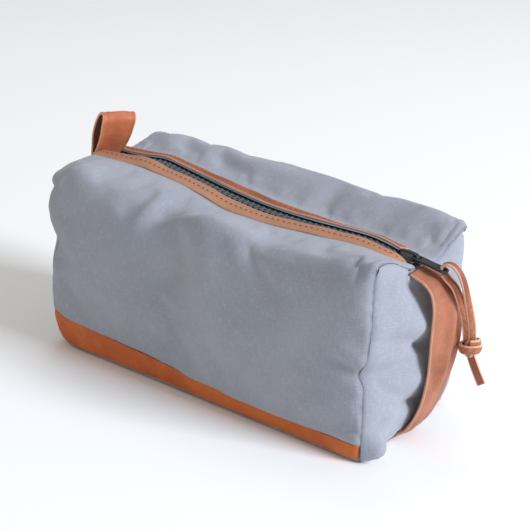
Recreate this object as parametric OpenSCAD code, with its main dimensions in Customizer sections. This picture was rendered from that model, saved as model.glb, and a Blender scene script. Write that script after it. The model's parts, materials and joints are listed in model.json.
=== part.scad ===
// Wash bag: a canvas box with a leather base, closed along the top by a
// moulded-tooth zip between two leather trims. The two halves of the top
// fold open about the upper edges of the walls.
// +X is the bag's length, towards the carry strap; -Y is the front; +Z is up.
// The origin is the centre of the leather base, where it stands on a surface.

/* [Bag] */
// Length over the two end panels
bag_length = 240; // [210:5:300]
// Width over the leather base
bag_width = 105; // [90:5:130]
// Height of the top at the loop end
bag_height = 120; // [100:5:150]
// How much lower the top is at the strap end
top_fall = 13; // [0:1:16]
// Radius the canvas turns through along the top edges
edge_radius = 15; // [10:1:18]

/* [Canvas] */
// Thickness of the canvas walls
canvas_t = 1.2; // [0.8:0.1:2]
// Width of the binding folded over the inner seams
binding_w = 9; // [6:1:12]

/* [Leather] */
// Thickness of the leather
leather_t = 1.8; // [1.2:0.1:2.4]
// Height that the base is turned up at front and back
base_lip = 20; // [12:1:40]
// Width of each strip beside the zip
trim_w = 10; // [7:0.5:14]
// Width of the carry strap down the end
strap_w = 25; // [18:1:30]
// How far the carry strap stands off the end panel
strap_reach = 20; // [16:1:24]
// Width of the hang loop
loop_w = 22; // [12:1:25]
// Height of the hang loop above the top
loop_rise = 31; // [24:1:40]
// Distance from the pull's hole down to the lace's knot
lace_drop = 43; // [36:1:60]
// Thickness of the lace, taken as round
lace_d = 3; // [2.4:0.2:3.2]

/* [Zip] */
// Spacing of the teeth along one row
tooth_pitch = 4.2; // [3.6:0.1:5]
// Width of the closed row of teeth
chain_w = 10; // [8:0.5:10.5]
// Height of a tooth
tooth_h = 3.4; // [2.6:0.2:3.6]
// Length of the slider's body
slider_l = 14.4; // [12:0.4:16]
// Distance from the slider's bar to the tip of the pull
pull_l = 22; // [20:1:28]

/* [Fits] */
// Clearance between pieces sewn to each other
sewn_gap = 0.1; // [0.05:0.05:0.2]
// Clearance between pieces that move past each other
move_gap = 0.4; // [0.3:0.1:0.6]

/* [Hidden] */
$fn = 48;
eps = 0.01;

// Walls: canvas stands inside the turned-up leather, on the base
wall_y = bag_width / 2 - leather_t - sewn_gap;
wall_x = bag_length / 2 - canvas_t - sewn_gap;
floor_z = leather_t + sewn_gap;
inner_y = wall_y - canvas_t;

// The top lies in a plane that falls towards the strap end
top_z = bag_height - top_fall / 2;
top_tilt = atan(top_fall / bag_length);
fold_y = wall_y - edge_radius;

// Zip levels, measured up from the top plane
tape_t = 0.7;
tape_top = -canvas_t - sewn_gap;
tape_mid = tape_top - tape_t / 2;
tape_w = 12;
tooth_t = tooth_pitch * 0.45;
tooth_tip = 0.6;
core_w = 0.8;
chain_half = chain_w / 2;
tape_edge = chain_half + sewn_gap;

// Slider body round the teeth
slider_half = chain_half + 1.6;
slider_plate = 1.4;
slider_in = tooth_h / 2 + move_gap;
slider_lip = 1;
bridge_t = 1.2;
bridge_rise = 3.6;
bridge_w = 3;
slider_top = tape_mid + slider_in + slider_plate;

// The strips end where the slider parks, clear of its body
end_gap = 0.4;
slider_rest = wall_x - slider_l / 2 - end_gap;
fold_end = slider_rest - slider_l / 2 - 2 * move_gap;
stop_l = 3;
canvas_edge = slider_half + move_gap;
trim_front = canvas_edge + 0.2;
trim_back = canvas_edge + 1.4;

// Pull: hinged on the bridge, its tip resting lower than its bar
pull_t = 1.4;
pull_w = 7;
pull_eye = 1.3;
bar_u = slider_rest + 4.8;
pull_window = 3.8;
bar_w = slider_top + bridge_rise - bridge_t - 1.1;
pull_droop = 5;
hole_in = 3.4;
hole_r = lace_d / 2 + 0.5;
hole_at = pull_l - hole_in;

// World places of the bar and of the hole
bar_x = bar_u * cos(top_tilt) + bar_w * sin(top_tilt);
bar_z = top_z - bar_u * sin(top_tilt) + bar_w * cos(top_tilt);
pull_angle = top_tilt + pull_droop;
hole_x = bar_x + hole_at * cos(pull_angle);
hole_z = bar_z - hole_at * sin(pull_angle);

// Height of the top plane at each end
strap_end_z = top_z - bag_length / 2 * tan(top_tilt);
loop_end_z = top_z + bag_length / 2 * tan(top_tilt);

// Carry strap: centre line from the top seam to the bottom seam,
// as distance off the end panel and height up from the floor
strap_x0 = bag_length / 2 + sewn_gap + leather_t / 2;
strap_top = strap_end_z - 3;
strap_line = [
    [0, strap_top], [3, strap_top - 1], [0.55 * strap_reach, strap_top - 3],
    [0.82 * strap_reach, strap_top - 8], [0.98 * strap_reach, strap_top - 17],
    [strap_reach, strap_top - 29], [0.97 * strap_reach, strap_top * 0.56],
    [0.82 * strap_reach, strap_top * 0.4], [0.58 * strap_reach, strap_top * 0.24],
    [0.26 * strap_reach, strap_top * 0.09], [0, 3]
];

// Hang loop: both ends meet at the seam, the loop leans over the top
loop_x0 = 4 - bag_length / 2;
loop_base = 2.4;
loop_lean = 9;
loop_line = [
    [-1.1, 0], [-3.4, 0.3 * loop_rise], [-3.6, 0.6 * loop_rise],
    [-0.6, 0.86 * loop_rise], [3.6, loop_rise - leather_t],
    [7.6, loop_rise - leather_t], [loop_lean, 0.84 * loop_rise],
    [6.6, 0.56 * loop_rise], [3.4, 0.26 * loop_rise], [1.1, 0]
];

// The mouth starts clear of the hang loop
fold_start = loop_x0 + loop_lean + leather_t / 2 + 2 * move_gap;

// Lace: through the hole, over the tip and down both sides to the knot,
// as distance out from the hole, along the width, and up from the hole
knot_r = 6;
knot_h = 9;
knot_out = strap_x0 + strap_reach + leather_t / 2 + 2.6 + knot_r - hole_x;
lace_route = [
    [knot_out - 2.4, 12, -lace_drop], [knot_out - 2.4, 12, -lace_drop + 3],
    [knot_out - 3.4, 6, -23], [knot_out - 8, 1, -8], [0, 0, -2.4], [0, 0, 0],
    [0.4, 0, 2.4],
    [3.4, 0.4, 4.2], [7, 1.6, 2.6], [knot_out - 2.8, 3.4, -3],
    [knot_out - 0.2, 8, -21], [knot_out + 2.4, 13, -lace_drop + 3],
    [knot_out + 2.4, 13, -lace_drop]
];

// ---- points ----

// Points of an arc about c, from angle a to angle b
function arc(c, r, a, b, n = 8) =
    [for (i = [0:n]) let (t = a + (b - a) * i / n) c + r * [cos(t), sin(t)]];

function unit(v) = v / norm(v);

// Direction of a line of points at point i
function along(p, i) =
    unit(p[min(i + 1, len(p) - 1)] - p[max(i - 1, 0)]);

// Point at t between p[i] and p[i + 1] on the smooth curve through p
function between(p, i, t) =
    let (a = p[max(i - 1, 0)], b = p[i], c = p[i + 1],
         d = p[min(i + 2, len(p) - 1)])
    0.5 * (2 * b + (c - a) * t + (2 * a - 5 * b + 4 * c - d) * t * t
           + (3 * b - a - 3 * c + d) * t * t * t);

// The curve through p, with n points to each span
function smooth(p, n) = concat(
    [for (i = [0:len(p) - 2], k = [0:n - 1]) between(p, i, k / n)],
    [p[len(p) - 1]]);

// A line of points moved sideways by s
function beside(p, s) =
    [for (i = [0:len(p) - 1])
        let (d = along(p, i)) p[i] + s * [-d[1], d[0]]];

function backwards(p) = [for (i = [len(p) - 1:-1:0]) p[i]];

// Outline of a band of thickness t along a line of points
function band(p, t) = concat(beside(p, t / 2), backwards(beside(p, -t / 2)));

// Ring of n points round p[i], square to the line there
function ring(p, i, r, n) =
    let (d = along(p, i), s = unit(cross(d, [0.2, 1, 0])), u = cross(s, d))
    [for (k = [0:n - 1]) p[i] + r * (cos(360 * k / n) * s
                                     + sin(360 * k / n) * u)];

// ---- shapes ----

// Extrudes a shape drawn in (y, z) along x, centred
module along_x(l) {
    rotate([90, 0, 90]) linear_extrude(l, center = true) children();
}

// Extrudes a shape drawn in (x, z) along y, centred
module along_y(w) {
    rotate([90, 0, 0]) linear_extrude(w, center = true) children();
}

// Moves its children from the top plane to the bag
module on_top() {
    translate([0, 0, top_z]) rotate([0, top_tilt, 0]) children();
}

// Mirrors its children to the back when s is 1; drawn for the front
module side(s) {
    mirror([0, s > 0 ? 1 : 0, 0]) children();
}

// A block on the top plane, from u0 to u1, y0 to y1 and w0 to w1
module slab(u0, u1, y0, y1, w0, w1) {
    translate([u0, y0, w0]) cube([u1 - u0, y1 - y0, w1 - w0]);
}

// A round-sided tube of n sides along a line of points
module tube(p, r, n) {
    m = len(p);
    polyhedron(
        [for (i = [0:m - 1]) each ring(p, i, r, n)],
        concat(
            [[for (k = [0:n - 1]) k]],
            [for (i = [0:m - 2], k = [0:n - 1])
                let (a = i * n + k, b = i * n + (k + 1) % n)
                [a, a + n, b + n, b]],
            [[for (k = [n - 1:-1:0]) (m - 1) * n + k]]));
}

// ---- canvas ----

// One wall, turned over the top edge as far as the fold line, with the
// short pieces of the top that stay sewn to the end panels
module wall() {
    color("lightslategray") union() {
        intersection() {
            translate([-wall_x, -bag_width, floor_z])
                cube([2 * wall_x, bag_width, 2 * bag_height]);
            on_top() along_x(2 * bag_length) polygon(concat(
                [[-wall_y, -2 * bag_height]],
                arc([-fold_y, -edge_radius], edge_radius, 180, 90),
                arc([-fold_y, -edge_radius], edge_radius - canvas_t, 90, 180),
                [[-inner_y, -2 * bag_height]]));
        }
        on_top() {
            slab(fold_end + move_gap, wall_x, -fold_y - eps, -canvas_edge,
                 -canvas_t, 0);
            slab(-wall_x, fold_start - move_gap, -fold_y - eps, -canvas_edge,
                 -canvas_t, 0);
        }
    }
}

// One end panel, at x0
module end_panel(x0) {
    color("lightsteelblue") intersection() {
        translate([x0, -bag_width, floor_z])
            cube([canvas_t, 2 * bag_width, 2 * bag_height]);
        on_top() along_x(2 * bag_length) polygon(concat(
            [[-wall_y, -2 * bag_height]],
            arc([-fold_y, -edge_radius], edge_radius, 180, 90),
            arc([fold_y, -edge_radius], edge_radius, 90, 0),
            [[wall_y, -2 * bag_height]]));
    }
}

// Binding over the seam allowance inside one end
module binding(x0) {
    y1 = inner_y - sewn_gap;
    z0 = floor_z;
    z1 = strap_end_z - edge_radius - 4;
    color("dimgray") translate([x0, 0, 0]) along_x(binding_w) polygon([
        [-y1, z0], [y1, z0], [y1, z1], [y1 - canvas_t, z1],
        [y1 - canvas_t, z0 + canvas_t], [canvas_t - y1, z0 + canvas_t],
        [canvas_t - y1, z1], [-y1, z1]]);
}

// The half of the top between one fold line and the zip
module top_canvas() {
    color("lightslategray") on_top()
        slab(fold_start, fold_end, move_gap - fold_y, -canvas_edge,
             -canvas_t, 0);
}

module front_canvas() { wall(); }
module back_canvas() { side(1) wall(); }
module loop_end_canvas() { end_panel(-bag_length / 2); }
module strap_end_canvas() { end_panel(wall_x + sewn_gap); }
module loop_end_binding() { binding(-wall_x + binding_w / 2); }
module strap_end_binding() { binding(wall_x - binding_w / 2); }
module front_top_canvas() { top_canvas(); }
module back_top_canvas() { side(1) top_canvas(); }

// ---- leather ----

// Base with its front and back edges turned up outside the canvas
module leather_base() {
    half = bag_width / 2;
    r = 2 * leather_t;
    color("sienna") along_x(bag_length) polygon(concat(
        [[-half, base_lip]],
        arc([r - half, r], r, 180, 270, 4), arc([half - r, r], r, 270, 360, 4),
        [[half, base_lip], [half - leather_t, base_lip]],
        [[half - leather_t, leather_t], [leather_t - half, leather_t]],
        [[leather_t - half, base_lip]]));
}

// Strip beside the zip, its inner edge at y0 from the middle
module trim(y0) {
    color("peru") on_top()
        slab(fold_start, fold_end, -y0 - trim_w, -y0,
             sewn_gap, sewn_gap + leather_t);
}

module front_zip_trim() { trim(trim_front); }
module back_zip_trim() { side(1) trim(trim_back); }

module carry_strap() {
    color("peru") translate([strap_x0, 0, 0])
        along_y(strap_w) polygon(band(smooth(strap_line, 3), leather_t));
}

module hang_loop() {
    color("peru") translate([loop_x0, 0, loop_end_z + loop_base])
        along_y(loop_w) polygon(band(smooth(loop_line, 3), leather_t));
}

// ---- zip ----

// Half of the tape, from u0 to u1
module tape(u0, u1) {
    slab(u0, u1, -tape_edge - tape_w, -tape_edge, tape_top - tape_t, tape_top);
}

// Row of teeth on their moulded core, from u0 to u1, the first at phase
module teeth(u0, u1, phase) {
    n = floor((u1 - u0 - phase - tooth_t) / tooth_pitch);
    slab(u0, u1, -chain_half, core_w - chain_half,
         tape_mid - core_w, tape_mid + core_w);
    for (i = [0:n]) {
        u = u0 + phase + i * tooth_pitch;
        slab(u, u + tooth_t, core_w / 2 - chain_half, -tooth_tip,
             tape_mid - tooth_h / 2, tape_mid + tooth_h / 2);
    }
}

module front_zip_tape() { color("black") on_top() tape(fold_start, fold_end); }
module back_zip_tape() {
    color("black") side(1) on_top() tape(fold_start, fold_end);
}
module front_zip_teeth() {
    color("dimgray") on_top() teeth(fold_start, fold_end, 0.2);
}
module back_zip_teeth() {
    color("dimgray") side(1) on_top()
        teeth(fold_start, fold_end, 0.2 + tooth_pitch / 2);
}

// The parts of both tapes that stay closed beyond the mouth
module zip_tape_ends() {
    u0 = fold_end + move_gap;
    u1 = 1 + stop_l - wall_x;
    color("black") on_top() {
        tape(u0, wall_x);
        side(1) tape(u0, wall_x);
        slab(-wall_x, u1, -tape_edge - tape_w, tape_edge + tape_w,
             tape_top - tape_t, tape_top);
        for (s = [-1, 1]) side(s) tape(u1 - eps, fold_start - move_gap);
    }
}

// The teeth that stay closed: a few beside the bottom stop, and the last
// ones inside the parked slider
module zip_teeth_ends() {
    low = 1.4 + stop_l - wall_x;
    color("dimgray") on_top() for (s = [-1, 1]) side(s) {
        teeth(low, fold_start - move_gap, (s + 1) * tooth_pitch / 4);
        teeth(fold_end + move_gap, slider_rest + 1,
              0.2 + (s + 1) * tooth_pitch / 4);
    }
}

// Box that ties both rows together at the loop end
module zip_bottom_stop() {
    color("dimgray") on_top()
        slab(-wall_x + 1, -wall_x + 1 + stop_l, -chain_half, chain_half,
             tape_top + sewn_gap, tape_top + 1.4);
}

// Stop at the end of one row, in the slider's nose
module top_stop() {
    u0 = slider_rest + slider_l / 2 - 1.6;
    color("dimgray") on_top()
        slab(u0, u0 + stop_l / 2, -chain_half, -1.2, tape_mid - 1,
             tape_mid + 1);
}
module zip_top_stop_front() { top_stop(); }
module zip_top_stop_back() { side(1) top_stop(); }

// Outline of a slider plate, narrower at the tail than at the nose
module slider_plate_2d() {
    l = slider_l / 2;
    polygon(concat(
        arc([l - 2, slider_half - 2], 2, 90, 0, 4),
        arc([l - 2, 2 - slider_half], 2, 0, -90, 4),
        arc([1 - l, 2.2 - slider_half], 1, -90, -180, 4),
        arc([1 - l, slider_half - 2.2], 1, 180, 90, 4)));
}

module slider_body() {
    low = tape_mid - slider_in - slider_plate;
    wide = bridge_w / 2;
    color("darkslategray") on_top() translate([slider_rest, 0, 0]) union() {
        translate([0, 0, slider_top - slider_plate])
            linear_extrude(slider_plate) slider_plate_2d();
        translate([0, 0, low]) linear_extrude(slider_plate) slider_plate_2d();
        // Post between the plates, in the gap that parts the two rows
        slab(slider_l / 2 - 3.4, slider_l / 2 - 0.6, -0.4, 0.4,
             low + eps, slider_top - eps);
        // Lips that keep the rows between the plates
        for (s = [-1, 1], w = [slider_top - slider_plate - slider_lip,
                               low + slider_plate])
            slab(2 - slider_l / 2, slider_l / 2 - 2,
                 s * (slider_half - 0.5) - 0.5, s * (slider_half - 0.5) + 0.5,
                 w - eps, w + slider_lip + eps);
        // Bridge that holds the pull
        slab(-5.4, -5.4 + bridge_t, -wide, wide, slider_top - eps,
             slider_top + bridge_rise);
        slab(6, 6 + bridge_t, -wide, wide, slider_top - eps,
             slider_top + bridge_rise);
        slab(-5.4, 6 + bridge_t, -wide, wide,
             slider_top + bridge_rise - bridge_t, slider_top + bridge_rise);
    }
}

// Flat pull with an eye round the bridge at one end and a hole at the other
module zip_pull() {
    window = bridge_w + 2 * move_gap;
    color("dimgray") translate([bar_x, 0, bar_z])
        rotate([0, pull_angle, 0]) difference() {
            union() {
                slab(pull_window, pull_l - pull_w / 2, -pull_w / 2, pull_w / 2,
                     -pull_t / 2, pull_t / 2);
                translate([pull_l - pull_w / 2, 0, -pull_t / 2])
                    cylinder(d = pull_w, h = pull_t);
                for (s = [-1, 1])
                    slab(-pull_t / 2, pull_window + eps,
                         s * (window / 2 + 0.6) - 0.6,
                         s * (window / 2 + 0.6) + 0.6, -pull_t / 2,
                         pull_t / 2);
                slab(-pull_t / 2, pull_t / 2, -window / 2 - 1,
                     window / 2 + 1, -pull_t / 2, pull_t / 2);
            }
            translate([hole_at, 0, -pull_t]) cylinder(r = hole_r, h = 2 * pull_t);
        }
}

// ---- lace ----

module pull_lace() {
    color("chocolate") translate([hole_x, 0, hole_z])
        tube(smooth(lace_route, 3), lace_d / 2, 8);
}

// The knot, and the tail that comes out of it
module lace_knot() {
    mid = [knot_out, 12.5];
    color("chocolate") translate([hole_x + mid[0], mid[1], hole_z - lace_drop])
        union() {
            translate([0, 0, -knot_h]) cylinder(r = knot_r, h = knot_h);
            translate([0, 0, 2 - knot_h]) rotate([-6, 162, 0])
                translate([-2.5, -1.2, 0]) cube([5, 2.4, 18]);
        }
}

front_canvas();
back_canvas();
loop_end_canvas();
strap_end_canvas();
leather_base();
loop_end_binding();
strap_end_binding();
carry_strap();
zip_tape_ends();
zip_teeth_ends();
zip_bottom_stop();
zip_top_stop_front();
zip_top_stop_back();
front_top_canvas();
front_zip_trim();
front_zip_tape();
front_zip_teeth();
back_top_canvas();
back_zip_trim();
back_zip_tape();
back_zip_teeth();
slider_body();
zip_pull();
pull_lace();
lace_knot();
hang_loop();
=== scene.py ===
"""Wash bag: a soft canvas box on a leather base, closed by a moulded-tooth zip.

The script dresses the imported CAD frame. Every piece rides on a CAD body, and
the fabric beside the zip bends between the walls and the two flaps, so that
the mouth opens like an eye whose corners stay sewn. Tables of the soft shape
are in millimetres, along X from the loop end to the strap end; meshes are in
metres.
"""

import json
import logging
import math

from dataclasses import dataclass, field
from enum import Enum

import bpy
import numpy as np
from mathutils import Matrix, Vector

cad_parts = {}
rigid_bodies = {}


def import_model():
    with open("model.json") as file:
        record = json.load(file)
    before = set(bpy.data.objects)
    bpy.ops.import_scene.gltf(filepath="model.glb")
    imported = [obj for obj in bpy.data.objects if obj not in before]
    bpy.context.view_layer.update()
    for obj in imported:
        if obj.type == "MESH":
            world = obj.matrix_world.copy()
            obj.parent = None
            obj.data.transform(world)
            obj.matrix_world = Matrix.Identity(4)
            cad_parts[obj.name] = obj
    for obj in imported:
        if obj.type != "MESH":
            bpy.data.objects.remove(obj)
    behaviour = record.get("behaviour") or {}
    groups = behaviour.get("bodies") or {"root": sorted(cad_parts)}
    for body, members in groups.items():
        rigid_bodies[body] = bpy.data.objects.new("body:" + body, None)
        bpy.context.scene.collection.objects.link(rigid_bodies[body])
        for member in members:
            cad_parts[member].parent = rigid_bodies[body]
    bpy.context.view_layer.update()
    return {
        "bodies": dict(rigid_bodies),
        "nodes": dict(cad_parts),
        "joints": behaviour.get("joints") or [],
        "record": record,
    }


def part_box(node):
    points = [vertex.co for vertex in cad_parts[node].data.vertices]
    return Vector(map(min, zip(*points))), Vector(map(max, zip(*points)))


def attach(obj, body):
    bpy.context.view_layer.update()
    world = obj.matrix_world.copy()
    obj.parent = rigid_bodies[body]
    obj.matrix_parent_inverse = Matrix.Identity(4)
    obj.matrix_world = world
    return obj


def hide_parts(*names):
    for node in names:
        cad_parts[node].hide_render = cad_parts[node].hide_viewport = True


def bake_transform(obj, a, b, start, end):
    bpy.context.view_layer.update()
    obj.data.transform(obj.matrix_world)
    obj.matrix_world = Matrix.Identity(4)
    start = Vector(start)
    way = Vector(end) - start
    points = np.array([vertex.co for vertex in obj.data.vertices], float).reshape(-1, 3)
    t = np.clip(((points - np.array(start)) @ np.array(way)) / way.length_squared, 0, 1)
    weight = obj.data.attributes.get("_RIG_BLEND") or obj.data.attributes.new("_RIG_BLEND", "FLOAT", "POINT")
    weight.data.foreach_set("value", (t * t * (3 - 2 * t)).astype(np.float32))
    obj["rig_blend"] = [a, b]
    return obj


LOG = logging.getLogger("wash_bag")
MM = 0.001
CANVAS_THICK = 1.2
STRAP_THICK = 1.8
STRAP_TUCK = 0.8
Colour = tuple[float, float, float]


class Side(Enum):
    """Which long side of the bag a piece is on; the value is the sign of Y."""

    FRONT = -1
    BACK = 1

    @property
    def word(self) -> str:
        """The side's name as it is used in the names of pieces."""
        return self.name.lower()


class End(Enum):
    """Which short end of the bag a piece is at; the value is the sign of X."""

    LOOP = -1
    STRAP = 1

    @property
    def word(self) -> str:
        """The end's name as it is used in the names of pieces."""
        return f"{self.name.lower()}_end"


# ---------------------------------------------------------------- curves


def ease(t: np.ndarray | float) -> np.ndarray:
    """Smooth step from 0 to 1 as t goes from 0 to 1."""
    t = np.clip(t, 0.0, 1.0)
    return t * t * (3 - 2 * t)


def bell(d: np.ndarray, width: float) -> np.ndarray:
    """A soft bump of height 1 at distance 0 that dies out beyond width."""
    return np.exp(-((d / width) ** 2))


def through(places: list[float], values: list, at: np.ndarray) -> np.ndarray:
    """A smooth curve through values that are known at a few places.

    Args:
        places: The known places, in rising order.
        values: The value, or the row of values, at each place.
        at: The places to find values for.

    Returns:
        One value, or one row of values, for each place asked for.
    """
    x, y = np.asarray(places, float), np.asarray(values, float)
    slope = np.gradient(y, x, axis=0)
    i = np.clip(np.searchsorted(x, at, side="right") - 1, 0, len(x) - 2)
    h = x[i + 1] - x[i]
    t = np.clip((at - x[i]) / h, 0, 1)
    if y.ndim > 1:
        h, t = h[..., None], t[..., None]
    return (
        (1 + 2 * t) * (1 - t) ** 2 * y[i]
        + t * (1 - t) ** 2 * h * slope[i]
        + t * t * (3 - 2 * t) * y[i + 1]
        + t * t * (t - 1) * h * slope[i + 1]
    )


def curve(points: np.ndarray, per_span: list[int] | int) -> np.ndarray:
    """The smooth curve through points.

    Args:
        points: Control points in the last but one axis, of any dimension.
        per_span: How many samples each span gets, or one number for all.

    Returns:
        The samples, with the last control point as the last of them.
    """
    p = np.asarray(points, float)
    spans = p.shape[-2] - 1
    counts = [per_span] * spans if isinstance(per_span, int) else per_span
    padded = np.concatenate(
        [2 * p[..., :1, :] - p[..., 1:2, :], p, 2 * p[..., -1:, :] - p[..., -2:-1, :]],
        axis=-2,
    )
    parts = []
    for k in range(spans):
        a, b, c, d = (padded[..., k + j : k + j + 1, :] for j in range(4))
        t = (np.arange(counts[k]) / counts[k])[:, None]
        parts.append(
            0.5
            * (
                2 * b
                + (c - a) * t
                + (2 * a - 5 * b + 4 * c - d) * t**2
                + (3 * b - a - 3 * c + d) * t**3
            )
        )
    return np.concatenate([*parts, p[..., -1:, :]], axis=-2)


def lengths(line: np.ndarray) -> np.ndarray:
    """Distance along a line of points, from 0 at its first point."""
    step = np.linalg.norm(np.diff(line, axis=0), axis=1)
    return np.concatenate([[0.0], np.cumsum(step)])


def even(line: np.ndarray, count: int) -> np.ndarray:
    """The same line with count points an even distance apart."""
    at = lengths(line)
    want = np.linspace(0, at[-1], count)
    return np.stack([np.interp(want, at, c) for c in line.T], axis=1)


def unit(v: np.ndarray) -> np.ndarray:
    """Vectors in the last axis, scaled to length 1."""
    return v / np.maximum(np.linalg.norm(v, axis=-1, keepdims=True), 1e-12)


def grid_normals(grid: np.ndarray) -> np.ndarray:
    """Unit normals of a grid of points, from its own row and column steps."""
    return unit(np.cross(np.gradient(grid, axis=1), np.gradient(grid, axis=0)))


@dataclass(frozen=True)
class Ripples:
    """Soft irregular waves that stand for the rumples of worn cloth."""

    wavelength: float
    seed: int
    waves: int = 9

    def at(self, points: np.ndarray) -> np.ndarray:
        """Height of the waves, about -1 to 1, at points in any dimension."""
        rng = np.random.default_rng(self.seed)
        total = np.zeros(points.shape[:-1])
        for _ in range(self.waves):
            way = unit(rng.normal(size=points.shape[-1]))
            pitch = self.wavelength * rng.uniform(0.7, 1.7)
            total += np.sin(points @ way * (2 * math.pi / pitch) + rng.uniform(0, 2 * math.pi))
        return total / math.sqrt(self.waves)


@dataclass(frozen=True)
class Fold:
    """A fold or a dent along a line of points, in mm; depth is outward."""

    line: tuple[tuple[float, float, float], ...]
    width: float
    depth: float

    def at(self, points: np.ndarray) -> np.ndarray:
        """Outward height of the fold at points given in mm."""
        line = curve(np.array(self.line, float), 8)
        best = np.full(points.shape[:-1], 1e9)
        share = np.zeros(points.shape[:-1])
        for k in range(len(line) - 1):
            a, b = line[k], line[k + 1]
            t = np.clip(((points - a) @ (b - a)) / max((b - a) @ (b - a), 1e-9), 0, 1)
            d = np.linalg.norm(points - a - t[..., None] * (b - a), axis=-1)
            near = d < best
            best = np.where(near, d, best)
            share = np.where(near, (k + t) / (len(line) - 1), share)
        fade = 0.35 + 0.65 * np.sin(math.pi * np.clip(share, 0.02, 0.98)) ** 0.7
        return self.depth * bell(best, self.width) * fade


def mirrored(half: list[tuple[float, float]], start: int) -> np.ndarray:
    """A closed outline from the half of it on one side of the X axis.

    Args:
        half: Points from one crossing of the axis to the other.
        start: Which point of the whole outline comes first, and again last.

    Returns:
        The points of the whole outline.
    """
    side = np.array(half)
    loop = np.concatenate([side, side[-2:0:-1] * np.array([1.0, -1.0])])
    loop = np.roll(loop, -start, axis=0)
    return np.concatenate([loop, loop[:1]])


# ---------------------------------------------------------------- meshes


def new_object(name: str, verts: np.ndarray, faces: list, smooth: bool = True) -> bpy.types.Object:
    """A mesh object in the scene.

    Args:
        name: The piece's name.
        verts: Its vertices in metres.
        faces: Rows of vertex numbers.
        smooth: Whether its faces are shaded smooth.

    Returns:
        The new object.
    """
    mesh = bpy.data.meshes.new(name)
    mesh.from_pydata(np.asarray(verts, float).tolist(), [], faces)
    mesh.validate()
    if smooth:
        mesh.polygons.foreach_set("use_smooth", [True] * len(mesh.polygons))
    mesh.update()
    piece = bpy.data.objects.new(name, mesh)
    bpy.context.scene.collection.objects.link(piece)
    return piece


def store(piece: bpy.types.Object, name: str, values: np.ndarray) -> None:
    """Keeps a number or a vector for each vertex, for the finishes to read."""
    kind = "FLOAT_VECTOR" if values.ndim == 2 else "FLOAT"
    key = "vector" if values.ndim == 2 else "value"
    layer = piece.data.attributes.new(name, kind, "POINT")
    layer.data.foreach_set(key, values.astype(np.float32).ravel())


def dress(piece: bpy.types.Object, *finishes: bpy.types.Material) -> bpy.types.Object:
    """Puts finishes on a piece, in the order of its material slots."""
    piece.data.materials.clear()
    for finish in finishes:
        piece.data.materials.append(finish)
    return piece


def shell(
    name: str,
    grid: np.ndarray,
    thickness: float,
    outward: int = 1,
    shade: np.ndarray | None = None,
) -> bpy.types.Object:
    """A sheet with thickness, whose outer face is a grid of points.

    Args:
        name: The piece's name.
        grid: Rows and columns of points in metres.
        thickness: How far the inner face lies behind the outer one.
        outward: 1 if the grid's own normals point out, -1 if they point in.
        shade: Painted shade for each point, from 0 to 1, darkening the grooves of seams and creases.

    Returns:
        The closed piece, with the attributes cloth, shade and inside.
    """
    rows, cols = grid.shape[:2]
    normal = grid_normals(grid) * outward
    inner = grid - normal * thickness
    count = rows * cols
    verts = np.concatenate([grid.reshape(-1, 3), inner.reshape(-1, 3)])
    i, j = np.meshgrid(np.arange(rows - 1), np.arange(cols - 1), indexing="ij")
    a = (i * cols + j).ravel()
    quad = np.stack([a, a + 1, a + cols + 1, a + cols], axis=1)
    if outward > 0:
        quad = quad[:, ::-1]
    edge = np.concatenate(
        [
            np.arange(cols - 1),
            np.arange(rows - 1) * cols + cols - 1,
            (rows - 1) * cols + np.arange(cols - 1, 0, -1),
            np.arange(rows - 1, 0, -1) * cols,
        ]
    )
    after = np.roll(edge, -1)
    rim = np.stack([edge, edge + count, after + count, after], axis=1)
    if outward > 0:
        rim = rim[:, ::-1]
    faces = np.concatenate([quad, quad[:, ::-1] + count, rim[:, ::-1]])
    piece = new_object(name, verts, faces.tolist())
    along = np.cumsum(
        np.pad(np.linalg.norm(np.diff(grid, axis=1), axis=2), ((0, 0), (1, 0))), axis=1
    )
    up = np.cumsum(np.pad(np.linalg.norm(np.diff(grid, axis=0), axis=2), ((1, 0), (0, 0))), axis=0)
    mean_along = along.mean(axis=0, keepdims=True).repeat(rows, axis=0)
    mean_up = up.mean(axis=1, keepdims=True).repeat(cols, axis=1)
    cloth = np.stack([mean_along, mean_up, np.zeros_like(mean_up)], axis=2)
    cloth = cloth.reshape(-1, 3)
    painted_shade = np.zeros(count) if shade is None else shade.ravel()
    store(piece, "cloth", np.concatenate([cloth, cloth]))
    store(piece, "shade", np.concatenate([painted_shade, painted_shade]))
    store(piece, "inside", np.repeat([0.0, 1.0], count))
    return piece


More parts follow.
